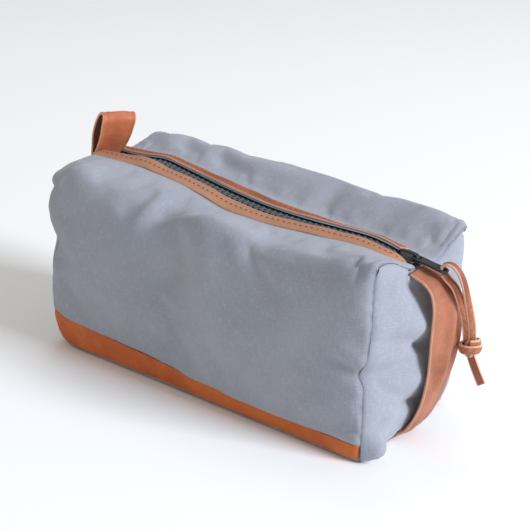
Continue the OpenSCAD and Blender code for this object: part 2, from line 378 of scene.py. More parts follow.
def ribbon(
    name: str,
    centre: np.ndarray,
    across: np.ndarray,
    width: np.ndarray | float,
    thickness: float,
    crown: np.ndarray | None = None,
    steps: int = 12,
) -> bpy.types.Object:
    """A strip of leather or tape with softly rounded edges.

    Args:
        name: The piece's name.
        centre: Its centre line, in metres.
        across: The direction of its width at each point of the line.
        width: Its width, one for all or one for each point.
        thickness: Its thickness.
        crown: Height added along the normal, by point and by step across.
        steps: How many steps its flat faces have across.

    Returns:
        The closed piece, with the attributes cloth, edge and flesh.
    """
    n = len(centre)
    tangent = unit(np.gradient(centre, axis=0))
    side = unit(across - (across * tangent).sum(1, keepdims=True) * tangent)
    normal = unit(np.cross(tangent, side))
    wide = np.broadcast_to(np.asarray(width, float), (n,))
    s = np.linspace(-1, 1, steps + 1)
    half = thickness / 2
    turn = np.radians([60, 20, -20, -60])
    rows = []
    for flip in (1, -1):
        rows += [(flip * k, flip, 0.0) for k in s]
        rows += [(flip * (1 + 1e-6), flip * math.sin(a), math.cos(a)) for a in turn]
    spec = np.array(rows)
    inner = wide[:, None] / 2 - half
    offset = np.sign(spec[:, 0]) * np.minimum(np.abs(spec[:, 0]), 1)
    lateral = offset[None, :] * inner + np.sign(spec[:, 0]) * spec[:, 2] * half
    rise = np.broadcast_to(spec[:, 1] * half, (n, len(spec))).copy()
    if crown is not None:
        for k in range(n):
            rise[k] += np.interp(offset, s, crown[k])
    verts = (
        centre[:, None, :]
        + side[:, None, :] * lateral[..., None]
        + normal[:, None, :] * rise[..., None]
    )
    m = len(spec)
    faces = [
        [i * m + j, (i + 1) * m + j, (i + 1) * m + (j + 1) % m, i * m + (j + 1) % m]
        for i in range(n - 1)
        for j in range(m)
    ]
    faces.append(list(range(m)))
    faces.append([(n - 1) * m + j for j in range(m - 1, -1, -1)])
    piece = new_object(name, verts.reshape(-1, 3), faces)
    along = np.repeat(lengths(centre), m)
    cut = np.tile((spec[:, 2] > 0) * 1.0, n)
    cut[:m] = np.maximum(cut[:m], 0.6)
    cut[-m:] = np.maximum(cut[-m:], 0.6)
    store(piece, "cloth", np.stack([along, lateral.ravel(), np.zeros(n * m)], axis=1))
    store(piece, "edge", cut)
    store(piece, "flesh", np.tile((spec[:, 1] < -0.9) * 1.0, n))
    return piece


def plate(
    name: str, outlines: list[np.ndarray], thickness: float, bevel: float
) -> bpy.types.Object:
    """A flat plate with rounded edges, cut from one outline with holes.

    Args:
        name: The piece's name.
        outlines: Closed outlines in metres, the outer one first.
        thickness: Its whole thickness, centred on Z = 0.
        bevel: Radius of its edges.

    Returns:
        The plate as a mesh object, lying in XY at the origin.
    """
    drawn = bpy.data.curves.new(name, "CURVE")
    drawn.dimensions, drawn.fill_mode = "2D", "BOTH"
    drawn.extrude, drawn.bevel_depth = thickness / 2 - bevel, bevel
    drawn.offset, drawn.bevel_resolution = -bevel, 2
    for outline in outlines:
        spline = drawn.splines.new("POLY")
        spline.points.add(len(outline) - 1)
        flat = np.concatenate(
            [outline, np.zeros((len(outline), 1)), np.ones((len(outline), 1))], axis=1
        )
        spline.points.foreach_set("co", flat.ravel())
        spline.use_cyclic_u = True
    holder = bpy.data.objects.new(name, drawn)
    bpy.context.scene.collection.objects.link(holder)
    graph = bpy.context.evaluated_depsgraph_get()
    mesh = bpy.data.meshes.new_from_object(holder.evaluated_get(graph))
    bpy.data.objects.remove(holder)
    piece = bpy.data.objects.new(name, mesh)
    bpy.context.scene.collection.objects.link(piece)
    return piece


def rounded(
    length: float, width: float, radius: float, at: tuple[float, float] = (0, 0)
) -> np.ndarray:
    """Outline of a rectangle with round corners, centred at a point."""
    turn = np.radians(np.linspace(0, 90, 7))
    parts = []
    for quarter, (sx, sy) in enumerate([(1, 1), (-1, 1), (-1, -1), (1, -1)]):
        a = turn + quarter * math.pi / 2
        parts.append(
            np.stack(
                [
                    at[0] + sx * (length / 2 - radius) + radius * np.cos(a),
                    at[1] + sy * (width / 2 - radius) + radius * np.sin(a),
                ],
                axis=1,
            )
        )
    return np.concatenate(parts)


def join(name: str, pieces: list[bpy.types.Object]) -> bpy.types.Object:
    """Several objects made into one piece, in the first one's place."""
    with bpy.context.temp_override(
        active_object=pieces[0],
        selected_objects=pieces,
        selected_editable_objects=pieces,
    ):
        bpy.ops.object.join()
    pieces[0].name = pieces[0].data.name = name
    return pieces[0]


# ---------------------------------------------------------------- shaders


class Link:
    """An output socket that does arithmetic by adding Math nodes."""

    def __init__(self, net: "Net", socket: bpy.types.NodeSocket) -> None:
        """Wraps one socket of a net."""
        self.net, self.socket = net, socket

    def maths(self, operation: str, *others: "Link | float") -> "Link":
        """A Math node on this socket and any others."""
        sockets = dict(enumerate([self, *others]))
        return self.net.add("ShaderNodeMath", {"operation": operation}, sockets)

    def __add__(self, other: "Link | float") -> "Link":
        """This plus the other."""
        return self.maths("ADD", other)

    __radd__ = __add__

    def __mul__(self, other: "Link | float") -> "Link":
        """This times the other."""
        return self.maths("MULTIPLY", other)

    __rmul__ = __mul__

    def __sub__(self, other: "Link | float") -> "Link":
        """This minus the other."""
        return self.maths("SUBTRACT", other)

    def __rsub__(self, other: float) -> "Link":
        """The other minus this."""
        return self * -1.0 + other

    def __truediv__(self, other: float) -> "Link":
        """This divided by a number."""
        return self * (1.0 / other)

    def __abs__(self) -> "Link":
        """This without its sign."""
        return self.maths("ABSOLUTE")

    def sine(self) -> "Link":
        """The sine of this, in radians."""
        return self.maths("SINE")

    def most(self, other: "Link | float") -> "Link":
        """The larger of this and the other."""
        return self.maths("MAXIMUM", other)

    def step(self, low: float, high: float) -> "Link":
        """0 below low and 1 above high, with a smooth change between."""
        return self.net.add(
            "ShaderNodeMapRange",
            {"interpolation_type": "SMOOTHSTEP"},
            {"Value": self, "From Min": low, "From Max": high},
        )


class Net:
    """The node tree of one finish."""

    def __init__(self, name: str) -> None:
        """Starts a material with an empty tree.

        Args:
            name: The finish's name.
        """
        self.material = bpy.data.materials.new(name)
        self.material.use_nodes = True
        self.tree = self.material.node_tree
        self.tree.nodes.clear()

    def add(
        self,
        kind: str,
        settings: dict | None = None,
        sockets: dict | None = None,
        out: int | str = 0,
    ) -> Link:
        """Adds a node.

        Args:
            kind: The node's type.
            settings: Its properties, and "stops" for a colour ramp.
            sockets: A value or a Link for each input, by name or number.
            out: Which of its outputs is wanted.

        Returns:
            That output.
        """
        node = self.tree.nodes.new(kind)
        for key, value in (settings or {}).items():
            if key == "stops":
                ramp = node.color_ramp
                while len(ramp.elements) < len(value):
                    ramp.elements.new(0.5)
                for element, (place, colour) in zip(ramp.elements, value):
                    element.position, element.color = place, (*colour, 1.0)
            else:
                setattr(node, key, value)
        for key, value in (sockets or {}).items():
            if isinstance(value, Link):
                self.tree.links.new(value.socket, node.inputs[key])
            elif isinstance(value, tuple) and len(value) == 3:
                wide = len(node.inputs[key].default_value) == 4
                node.inputs[key].default_value = (*value, 1.0) if wide else value
            else:
                node.inputs[key].default_value = value
        return Link(self, node.outputs[out])

    def mix(
        self,
        first: "Link | Colour",
        second: "Link | Colour",
        share: "Link | float",
        way: str = "MIX",
    ) -> Link:
        """A Mix node on two colours."""
        settings = {"data_type": "RGBA", "blend_type": way}
        return self.add("ShaderNodeMix", settings, {0: share, 6: first, 7: second}, 2)

    def kept(self, name: str, vector: bool = False) -> Link:
        """What a mesh keeps at its vertices under a name."""
        out = "Vector" if vector else "Fac"
        return self.add("ShaderNodeAttribute", {"attribute_name": name}, {}, out)

    def split(self, vector: Link) -> tuple[Link, Link]:
        """The first two parts of a vector."""
        x = self.add("ShaderNodeSeparateXYZ", {}, {0: vector}, 0)
        return x, Link(self, x.socket.node.outputs[1])

    def noise(self, where: Link, scale: float, detail: float = 3.0) -> Link:
        """Soft noise from 0 to 1, with scale waves to the metre."""
        return self.add(
            "ShaderNodeTexNoise",
            {},
            {"Vector": where, "Scale": scale, "Detail": detail, "Roughness": 0.55},
        )

    def place(self) -> Link:
        """The place on the piece itself, in metres."""
        return self.add("ShaderNodeTexCoord", {}, {}, "Object")

    def bump(self, height: Link, distance: float, strength: float = 1.0) -> Link:
        """A Bump node whose height of 1 is distance in metres."""
        return self.add(
            "ShaderNodeBump",
            {},
            {"Height": height, "Distance": distance, "Strength": strength},
        )

    def finish(self, **sockets: "Link | float | Colour") -> bpy.types.Material:
        """Ends the net in a Principled shader.

        Args:
            **sockets: Its inputs, with underscores for spaces.

        Returns:
            The finished material.
        """
        named = {key.replace("_", " "): value for key, value in sockets.items()}
        shader = self.add("ShaderNodeBsdfPrincipled", {}, named)
        ending = self.tree.nodes.new("ShaderNodeOutputMaterial")
        self.tree.links.new(shader.socket, ending.inputs["Surface"])
        return self.material


@dataclass(frozen=True)
class WovenCanvas:
    """Tight plain-woven cotton with a dry hand."""

    name: str = "blue_grey_canvas"
    yarn: Colour = (0.322, 0.340, 0.388)
    worn: Colour = (0.405, 0.42, 0.465)
    deep: Colour = (0.225, 0.24, 0.285)
    pitch: float = 0.75 * MM

    def build(self) -> bpy.types.Material:
        """The canvas as a material that reads cloth and the painted seam shade."""
        net = Net(self.name)
        cloth = net.kept("cloth", vector=True)
        u, v = net.split(cloth)
        turns = math.pi / self.pitch
        warp, weft = (u * turns).sine(), (v * turns).sine()
        over = (warp * weft).step(-0.25, 0.25)
        thread = abs(warp) * (0.35 + over * 0.65)
        thread = thread.most(abs(weft) * (1.0 - over * 0.65))
        slub = net.noise(
            net.add(
                "ShaderNodeVectorMath",
                {"operation": "MULTIPLY"},
                {0: cloth, 1: (1.0, 0.22, 1.0)},
            ),
            900.0,
            2.0,
        )
        cross = net.noise(
            net.add(
                "ShaderNodeVectorMath",
                {"operation": "MULTIPLY"},
                {0: cloth, 1: (0.22, 1.0, 1.0)},
            ),
            1100.0,
            2.0,
        )
        cloud = net.noise(net.place(), 22.0, 4.0)
        colour = net.mix(self.deep, self.yarn, thread.step(0.0, 0.75))
        colour = net.mix(colour, self.worn, (slub * cross).step(0.22, 0.42) * 0.55)
        colour = net.mix(colour, self.worn, cloud.step(0.45, 0.75) * 0.30)
        colour = net.mix(colour, self.deep, cloud.step(0.5, 0.28) * 0.25)
        # Painted shade: the shade attribute mixes in near black, standing in for the shadow in the seam
        # grooves.
        colour = net.mix(colour, (0.10, 0.11, 0.14), net.kept("shade") * 0.85)
        rough = 0.86 + slub * 0.1
        height = thread * 0.7 + slub * 0.6 + cross * 0.5
        return net.finish(
            Base_Color=colour,
            Roughness=rough,
            Normal=net.bump(height, 0.14 * MM, 0.95),
            Sheen_Weight=0.22,
            Sheen_Roughness=0.6,
            Specular_IOR_Level=0.22,
        )


@dataclass(frozen=True)
class Leather:
    """Vegetable-tanned leather: grain face, pale cut edge, suede back, and stitch holes filled with painted
    shade where holes is set.
    """

    name: str
    hide: Colour
    deep: Colour
    worn: Colour
    edge: Colour
    flesh: Colour
    gloss: float = 0.42
    holes: float = 0.0

    def build(self) -> bpy.types.Material:
        """The leather as a material that reads cloth, edge and flesh."""
        net = Net(self.name)
        place = net.place()
        cloth = net.kept("cloth", vector=True)
        pores = net.add(
            "ShaderNodeTexVoronoi",
            {"feature": "DISTANCE_TO_EDGE"},
            {"Vector": cloth, "Scale": 1050.0},
        )
        grain = pores.step(0.0, 0.16)
        cloud = net.noise(place, 45.0, 4.0)
        fine = net.noise(place, 520.0, 3.0)
        crease = net.noise(
            net.add(
                "ShaderNodeVectorMath",
                {"operation": "MULTIPLY"},
                {0: cloth, 1: (1.0, 0.18, 1.0)},
            ),
            260.0,
            4.0,
        )
        colour = net.mix(self.deep, self.hide, cloud.step(0.28, 0.6))
        colour = net.mix(colour, self.worn, (cloud * fine).step(0.27, 0.42) * 0.55)
        colour = net.mix(colour, self.deep, (1.0 - grain) * 0.35)
        colour = net.mix(colour, self.flesh, net.kept("flesh") * (0.75 + fine * 0.25))
        edge = net.kept("edge")
        colour = net.mix(colour, self.edge, edge.step(0.25, 0.85) * 0.85)
        height = grain * 0.5 + fine * 0.4 + crease.step(0.3, 0.55) * 0.8
        rough = self.gloss + cloud * 0.16 + edge * 0.2
        if self.holes:
            u, v = net.split(cloth)
            row = abs(v - self.holes).step(0.75 * MM, 0.35 * MM)
            dot = abs((u * (math.pi / (3.9 * MM))).sine()).step(0.30, 0.12)
            # Painted shade: each stitch hole is coloured near black for the shadow inside it, and dented in
            # the bump.
            hole_shade = row * dot
            colour = net.mix(colour, (0.07, 0.022, 0.012), hole_shade * 0.9)
            height = height - hole_shade * 6.0
        return net.finish(
            Base_Color=colour,
            Roughness=rough,
            Normal=net.bump(height, 0.12 * MM, 0.8),
            Specular_IOR_Level=0.30,
        )


@dataclass(frozen=True)
class Twill:
    """Narrow woven tape, as used for zips and bindings."""

    name: str
    yarn: Colour
    deep: Colour
    pitch: float = 0.55 * MM

    def build(self) -> bpy.types.Material:
        """The tape as a material that reads cloth."""
        net = Net(self.name)
        cloth = net.kept("cloth", vector=True)
        u, v = net.split(cloth)
        rib = abs(((u + v) * (math.pi / self.pitch)).sine())
        fine = net.noise(cloth, 1400.0, 2.0)
        colour = net.mix(self.deep, self.yarn, rib * 0.7 + fine * 0.3)
        return net.finish(
            Base_Color=colour,
            Roughness=0.82 + fine * 0.12,
            Normal=net.bump(rib + fine * 0.5, 0.09 * MM, 0.8),
            Sheen_Weight=0.15,
            Specular_IOR_Level=0.25,
        )


@dataclass(frozen=True)
class Enamel:
    """Painted metal or moulded plastic that is scuffed on its high spots."""

    name: str
    paint: Colour
    rubbed: Colour
    rough: float
    metal: float = 0.0

    def build(self) -> bpy.types.Material:
        """The paint as a material with rubbed edges and a fine texture."""
        net = Net(self.name)
        place = net.place()
        cloud = net.noise(place, 260.0, 4.0)
        fine = net.noise(place, 2600.0, 2.0)
        worn = net.add("ShaderNodeNewGeometry", {}, {}, "Pointiness")
        high = worn.step(0.52, 0.60)
        colour = net.mix(self.paint, self.rubbed, high * 0.7 + cloud.step(0.6, 0.8) * 0.2)
        return net.finish(
            Base_Color=colour,
            Roughness=self.rough + cloud * 0.18,
            Metallic=self.metal,
            Normal=net.bump(fine + cloud * 0.6, 0.03 * MM, 0.6),
            Specular_IOR_Level=0.5,
        )


@dataclass(frozen=True)
class Backdrop:
    """Plain pale studio floor."""

    name: str = "pale_floor"

    def build(self) -> bpy.types.Material:
        """The floor as an even matt white with a trace of unevenness."""
        net = Net(self.name)
        cloud = net.noise(net.place(), 1.5, 2.0)
        colour = net.mix((0.93, 0.93, 0.92), (0.96, 0.96, 0.95), cloud)
        return net.finish(Base_Color=colour, Roughness=0.95, Specular_IOR_Level=0.1)


class Finishes:
    """Every finish of the bag, built once."""

    def __init__(self) -> None:
        """Builds the materials."""
        tan = dict(
            deep=(0.26, 0.08, 0.036),
            worn=(0.50, 0.21, 0.12),
            edge=(0.62, 0.36, 0.24),
            flesh=(0.46, 0.23, 0.14),
        )
        self.canvas = WovenCanvas().build()
        self.trim = Leather(
            "tan_trim", gloss=0.6, hide=(0.40, 0.112, 0.044), holes=-0.7 * MM, **tan
        ).build()
        self.strap = Leather("tan_strap", hide=(0.43, 0.165, 0.092), **tan).build()
        self.loop = Leather(
            "tan_loop",
            hide=(0.62, 0.205, 0.095),
            deep=(0.46, 0.13, 0.055),
            worn=(0.72, 0.30, 0.16),
            edge=(0.80, 0.46, 0.30),
            flesh=(0.13, 0.045, 0.022),
            gloss=0.36,
        ).build()
        self.base = Leather(
            "orange_base_leather",
            hide=(0.60, 0.145, 0.030),
            deep=(0.47, 0.10, 0.020),
            worn=(0.66, 0.20, 0.055),
            edge=(0.25, 0.07, 0.03),
            flesh=(0.40, 0.20, 0.11),
            gloss=0.52,
        ).build()
        self.lace = Leather(
            "lace_leather",
            hide=(0.42, 0.14, 0.068),
            deep=(0.22, 0.06, 0.028),
            worn=(0.62, 0.29, 0.17),
            edge=(0.72, 0.45, 0.32),
            flesh=(0.22, 0.075, 0.04),
            gloss=0.4,
        ).build()
        self.binding = Twill(
            "grey_binding", (0.22, 0.23, 0.25), (0.12, 0.125, 0.14), 0.8 * MM
        ).build()
        self.tape = Twill("black_tape", (0.028, 0.028, 0.032), (0.006, 0.006, 0.008)).build()
        self.teeth = Enamel("dark_teeth", (0.026, 0.03, 0.033), (0.20, 0.22, 0.23), 0.34).build()
        self.slider = Enamel(
            "black_slider", (0.012, 0.012, 0.014), (0.06, 0.06, 0.065), 0.36
        ).build()
        self.pull = Enamel(
            "dark_pull", (0.028, 0.03, 0.035), (0.12, 0.125, 0.13), 0.30, 0.35
        ).build()
        self.thread = Twill("tan_thread", (0.34, 0.11, 0.05), (0.16, 0.05, 0.022), 0.3 * MM).build()
        self.floor = Backdrop().build()


# ---------------------------------------------------------------- cloth


@dataclass(frozen=True)
class SpareCloth:
    """A short cloth simulation that lets spare cloth buckle into folds."""

    spare: float = 0.014
    bending: float = 8.0
    pressure: float = 0.35
    frames: int = 20
    cap: float = 3.0
    scale: float = 8.0

    def settle(self, grid: np.ndarray, held: np.ndarray, outward: int) -> np.ndarray:
        """Simulates a sheet whose held points stay where they are.

        Args:
            grid: Rows and columns of points, in mm.
            held: How firmly each point is held, from 0 to 1.
            outward: 1 if the grid's own normals point out, -1 if in.

        Returns:
            The same grid with folds.
        """
        rows, cols = grid.shape[:2]
        i, j = np.meshgrid(np.arange(rows - 1), np.arange(cols - 1), indexing="ij")
        a = (i * cols + j).ravel()
        quads = np.stack([a, a + 1, a + cols + 1, a + cols], axis=1)
        if outward > 0:
            quads = quads[:, ::-1]
        scaled = grid.reshape(-1, 3) * MM * self.scale
        trial = new_object("trial_cloth", scaled, quads.tolist())
        group = trial.vertex_groups.new(name="held")
        for number, weight in enumerate(held.ravel()):
            if weight > 0:
                group.add([number], float(weight), "REPLACE")
        cloth = trial.modifiers.new("cloth", "CLOTH")
        setting = cloth.settings
        setting.quality, setting.mass = 6, 0.3
        setting.tension_stiffness = setting.compression_stiffness = 25
        setting.shear_stiffness, setting.bending_stiffness = 8, self.bending
        setting.effector_weights.gravity = 0.0
        setting.vertex_group_mass = "held"
        setting.shrink_min = -self.spare
        setting.use_pressure = True
        setting.uniform_pressure_force = self.pressure
        cloth.collision_settings.use_collision = False
        scene = bpy.context.scene
        for step in range(1, self.frames + 1):
            scene.frame_set(step)
        graph = bpy.context.evaluated_depsgraph_get()
        result = trial.evaluated_get(graph).to_mesh()
        moved = np.zeros(rows * cols * 3, np.float32)
        result.vertices.foreach_get("co", moved)
        moved = moved.reshape(rows, cols, 3).astype(float) / (MM * self.scale)
        scene.frame_set(1)
        bpy.data.objects.remove(trial)
        shift = moved - grid
        size = np.linalg.norm(shift, axis=2, keepdims=True)
        shift *= self.cap * np.tanh(size / self.cap) / np.maximum(size, 1e-9)
        return grid + shift


# ---------------------------------------------------------------- the form


@dataclass(frozen=True)
class Station:
    """Heights and fullness of the soft shell at one place along the bag."""

    x: float
    front_belly: float
    front_edge: float
    front_middle: float
    front_seam: float
    back_belly: float
    back_edge: float
    back_middle: float
    back_seam: float

    def half(self, side: Side) -> tuple[float, float, float, float]:
        """Belly, edge, middle and seam of one side."""
        if side is Side.FRONT:
            return (self.front_belly, self.front_edge, self.front_middle, self.front_seam)
        return self.back_belly, self.back_edge, self.back_middle, self.back_seam


@dataclass
class BagForm:
    """The shape of the filled bag, which every sewn piece follows."""

    half_length: float
    top_middle: float
    top_slope: float
    canvas: float = CANVAS_THICK * MM
    lens: tuple[float, float, float, float] = (-92, -38, 55, 99)
    hinge_y: float = 35.6
    stations: tuple[Station, ...] = (
        Station(-120, 0.8, 112.0, 119.6, 121.4, 1.0, 120.6, 120.5, 118.6),
        Station(-104, 2.4, 119.5, 121.6, 121.2, 2.4, 124.6, 122.0, 118.8),
        Station(-80, 2.6, 117.5, 120.6, 120.4, 3.0, 125.4, 122.4, 119.4),
        Station(-58, 2.4, 115.0, 119.2, 119.4, 3.2, 126.2, 121.0, 117.6),
        Station(-42, 1.4, 110.0, 117.4, 118.2, 3.2, 126.8, 119.0, 115.8),
        Station(-28, 0.8, 106.5, 114.2, 115.6, 3.0, 127.0, 118.0, 114.8),
        Station(-10, 1.6, 112.5, 113.0, 111.6, 3.0, 127.0, 116.4, 113.2),
        Station(8, 2.6, 117.0, 113.4, 110.6, 3.0, 126.2, 115.0, 111.4),
        Station(25, 2.6, 114.0, 111.8, 110.0, 3.2, 125.4, 113.8, 109.8),
        Station(42, 2.2, 110.5, 110.8, 110.4, 3.2, 124.8, 112.8, 108.2),
        Station(62, 2.0, 112.0, 111.8, 111.2, 3.0, 124.6, 112.2, 107.0),
        Station(84, 1.8, 114.5, 113.6, 112.6, 2.6, 124.0, 111.4, 106.2),
        Station(104, 1.2, 117.4, 115.8, 112.4, 2.0, 121.8, 110.4, 105.0),
        Station(120, 0.4, 118.6, 116.8, 110.2, 0.8, 118.2, 109.6, 104.6),
    )
    wave: tuple[tuple[float, float, float], ...] = (
        (-120, 0.0, 0.3), (-108, 0.3, 0.6), (-95, 1.6, 1.8), (-80, 3.0, 3.8), (-60, 1.6, 3.0),
        (-30, -0.6, 1.0), (12, -1.6, -0.8), (42, 0.2, -0.4), (62, 1.4, 0.8), (84, 1.8, 1.8),
        (96, 0.8, 1.0), (104, 0.0, 0.1), (120, 0.0, 0.0),
    )
    per_span: tuple[int, ...] = (6, 9, 11, 12, 8, 7, 5, 7, 7, 5)
    made: dict = field(default_factory=dict)

    def zip_line(self, x: np.ndarray) -> np.ndarray:
        """Middle of the zip on the top plane's level, in mm."""
        shift = through([w[0] for w in self.wave], [w[1:] for w in self.wave], x)
        z = self.top_middle / MM - self.top_slope * x
        return np.stack([x, shift[:, 0], z + shift[:, 1]], axis=1)

    def lip(self, x: np.ndarray, side: Side) -> np.ndarray:
        """Height of the leather base's turned-up edge, in mm."""
        if side is Side.FRONT:
            return through([-122, -80, -40, 8, 56, 122], [22.5, 20.5, 17.6, 14.4, 12.6, 12.0], x)
        return through([-122, -60, 0, 60, 122], [21.0, 19.0, 17.5, 18.0, 19.0], x)

    def controls(self, x: np.ndarray, side: Side) -> np.ndarray:
        """Corner points of the cross-section at each x, as (y, z) in mm."""
        rows = [s.half(side) for s in self.stations]
        belly, edge, middle, seam = through([s.x for s in self.stations], rows, x).T
        line = self.zip_line(x)
        sign = side.value
        one = np.ones_like(x)
        wave = line[:, 1] * sign
        y = [
            50.4 * one,
            51.6 + 0.4 * belly,
            51.4 + 0.9 * belly,
            51.0 + 1.1 * belly,
            50.8 + 0.9 * belly,
            50.6 + 0.5 * belly,
            48.6 * one,
            42.5 * one,
            30.5 + 0.4 * wave,
            17.2 + wave,
            7.1 + wave,
        ]
        z = [
            0.9 * one,
            13.0 * one,
            34.0 * one,
            60.0 * one,
            edge - 31,
            edge - 11,
            edge - 0.8,
            0.65 * edge + 0.35 * middle + 1.7,
            middle,
            seam,
            line[:, 2] + 0.1,
        ]
        return np.stack([sign * np.stack(y, 1), np.stack(z, 1)], axis=2)

    def columns(self) -> np.ndarray:
        """Places of the mesh columns along the bag, closer at the ends."""
        reach = self.half_length / MM
        fine = np.concatenate([np.arange(0, 12, 0.9), np.arange(12, reach, 2.0)])
        return np.concatenate([-reach + fine, [0.0], (reach - fine)[::-1]])

    def corner(self) -> int:
        """Row of the mesh at which the wall turns into the top."""
        return sum(self.per_span[:6])

    def half_shell(self, side: Side) -> np.ndarray:
        """The finished half shell of one side, made once."""
        if side not in self.made:
            self.made[side] = self.make_half(side)
        return self.made[side]

    def make_half(self, side: Side) -> np.ndarray:
        """Outer face of one wall and its half of the top.

        Args:
            side: Front or back.

        Returns:
            Rows from the foot to the zip, columns along the bag, in mm.
        """
        x = self.columns()
        section = curve(self.controls(x, side), list(self.per_span))
        grid = np.concatenate(
            [np.broadcast_to(x[:, None, None], (*section.shape[:2], 1)), section], axis=2
        ).transpose(1, 0, 2)
        grid = self.turn_ends(grid, side)
        grid = self.rumple(grid, side)
        grid = self.settle(grid)
        rows, cols = grid.shape[:2]
        lip = self.lip(grid[..., 0].ravel(), side).reshape(rows, cols)
        foot = (lip + 9 - grid[..., 2]) / 2.0
        zip_edge = np.arange(rows)[:, None] - (rows - 11)
        ends = 4 - np.minimum(np.arange(cols), cols - 1 - np.arange(cols))[None, :]
        held = np.clip(np.maximum(np.maximum(foot, zip_edge), ends) / 4.0, 0, 1)
        outward = -1 if side is Side.FRONT else 1
        return SpareCloth().settle(grid, held, outward)

    def turn_ends(self, grid: np.ndarray, side: Side) -> np.ndarray:
        """Rolls the last stretch of a half shell round to its end seams."""
        out = grid.copy()
        reach = self.half_length / MM
        height = grid[:, :, 2]
        rows = np.arange(grid.shape[0])
        over = ease((rows - self.corner() + 4) / 8)[:, None]
        normal = grid_normals(grid)
        normal[..., 0] = 0
        normal = unit(normal) * -1
        middle = np.array([0.0, 60.0])
        away = grid[..., 1:] - middle
        flip = np.sign((normal[..., 1:] * away).sum(-1, keepdims=True))
        inward = -normal * np.where(flip == 0, 1, flip)
        for end in End:
            low = 3.0 if side is Side.FRONT else 3.6
            high = 8.5 if end is End.LOOP else 2.6
            if side is Side.BACK:
                high = 8.0
            radius = low + (high - low) * ease((height - 55) / 40) * (1 - over)
            radius = radius * (1 - over) + (3.4 if end is End.LOOP else 1.3) * over
            if end is End.STRAP and side is Side.FRONT:
                radius = np.minimum(radius, 3.0)
            gone = reach - end.value * grid[:, :, 0]
            share = np.clip(1 - gone / (radius * 1.35), 0, 1)
            angle = share * math.radians(78)
            sink = radius * (1 - np.cos(angle))
            draw = radius * 1.35 * share - radius * np.sin(angle)
            out += inward * sink[..., None]
            out[..., 0] -= end.value * draw * (share > 0)
            out[..., 0] += end.value * 0.6 * share
        return out

    def pinches(self, side: Side) -> list[Fold]:
        """Folds and dents that filling and handling left in the canvas."""
        if side is Side.BACK:
            return [
                Fold(((-70, 47, 122), (-20, 49, 116), (30, 52, 106)), 9, -1.4),
                Fold(((-96, 30, 124), (-60, 26, 121), (-20, 24, 117)), 8, -1.8),
                Fold(((-60, 40, 125), (-20, 36, 122), (25, 32, 117)), 7, 1.3),
                Fold(((-100, 53, 90), (-60, 54, 60), (-20, 54, 40)), 10, 1.4),
                Fold(((90, 53, 100), (60, 54, 70), (45, 54, 42)), 9, -1.3),
                Fold(((118, 52, 50), (100, 53, 54)), 5, -2.0),
                Fold(((-30, 54, 90), (0, 54, 66), (40, 54, 56)), 10, 1.1),
            ]
        return [
            Fold(((-112, -52, 96), (-96, -53, 74), (-78, -53, 58), (-60, -53, 40)), 8, 1.5),
            Fold(((-116, -52, 74), (-104, -52, 52), (-88, -52, 34)), 8, -1.5),
            Fold(((-34, -49, 106), (-28, -44, 112), (-20, -40, 114)), 4.6, -3.4),
            Fold(((-46, -50, 106), (-40, -44, 114), (-30, -37, 117)), 5.0, 2.2),
            Fold(((-22, -47, 110), (-4, -50, 113), (14, -50, 112)), 5, 1.2),
            Fold(((-16, -51, 104), (-14, -52, 84), (-20, -53, 60)), 9, -2.4),
            Fold(((4, -51, 108), (10, -53, 86), (8, -54, 60)), 10, 1.8),
            Fold(((34, -49, 110), (46, -51, 100), (58, -53, 90)), 6, -2.2),
            Fold(((119, -51, 55), (110, -52, 58), (100, -52, 61)), 4.0, -1.8),
            Fold(((118, -52, 47), (108, -52, 49), (98, -53, 48)), 4.5, 1.4),
            Fold(((118, -52, 64), (108, -53, 68), (100, -53, 74)), 5, 1.2),
            Fold(((116, -52, 30), (104, -53, 34), (92, -53, 44)), 7, 0.9),
            Fold(((-118, -45, 119), (-108, -38, 121), (-98, -34, 121)), 4.0, -1.8),
            Fold(((-119, -28, 120), (-108, -26, 121)), 3.5, -1.6),
        ]

    def rumple(self, grid: np.ndarray, side: Side) -> np.ndarray:
        """Adds folds and small waves to a half shell, square to it."""
        rows = np.arange(grid.shape[0])[:, None]
        last = grid.shape[0] - 1
        free = ease(rows / 10) * ease((last - rows - 10) / 12)
        normal = grid_normals(grid)
        away = grid[..., 1:] - np.array([0.0, 60.0])
        normal *= np.sign((normal[..., 1:] * away).sum(-1, keepdims=True))
        height = np.zeros(grid.shape[:2])
        for fold in self.pinches(side):
            height += fold.at(grid)
        seed = 3 if side is Side.FRONT else 8
        stretched = grid * np.array([0.8, 1.0, 1.0])
        height += 0.65 * Ripples(46, seed).at(stretched)
        height += 0.22 * Ripples(17, seed + 1).at(stretched)
        reach = self.half_length / MM
        gone = reach - np.abs(grid[..., 0])
        pucker = bell(gone, 13) * ease(gone / 3)
        height += 0.28 * pucker * Ripples(9, seed + 2).at(grid * np.array([0.3, 1, 1]))
        return grid + normal * (height * free)[..., None]

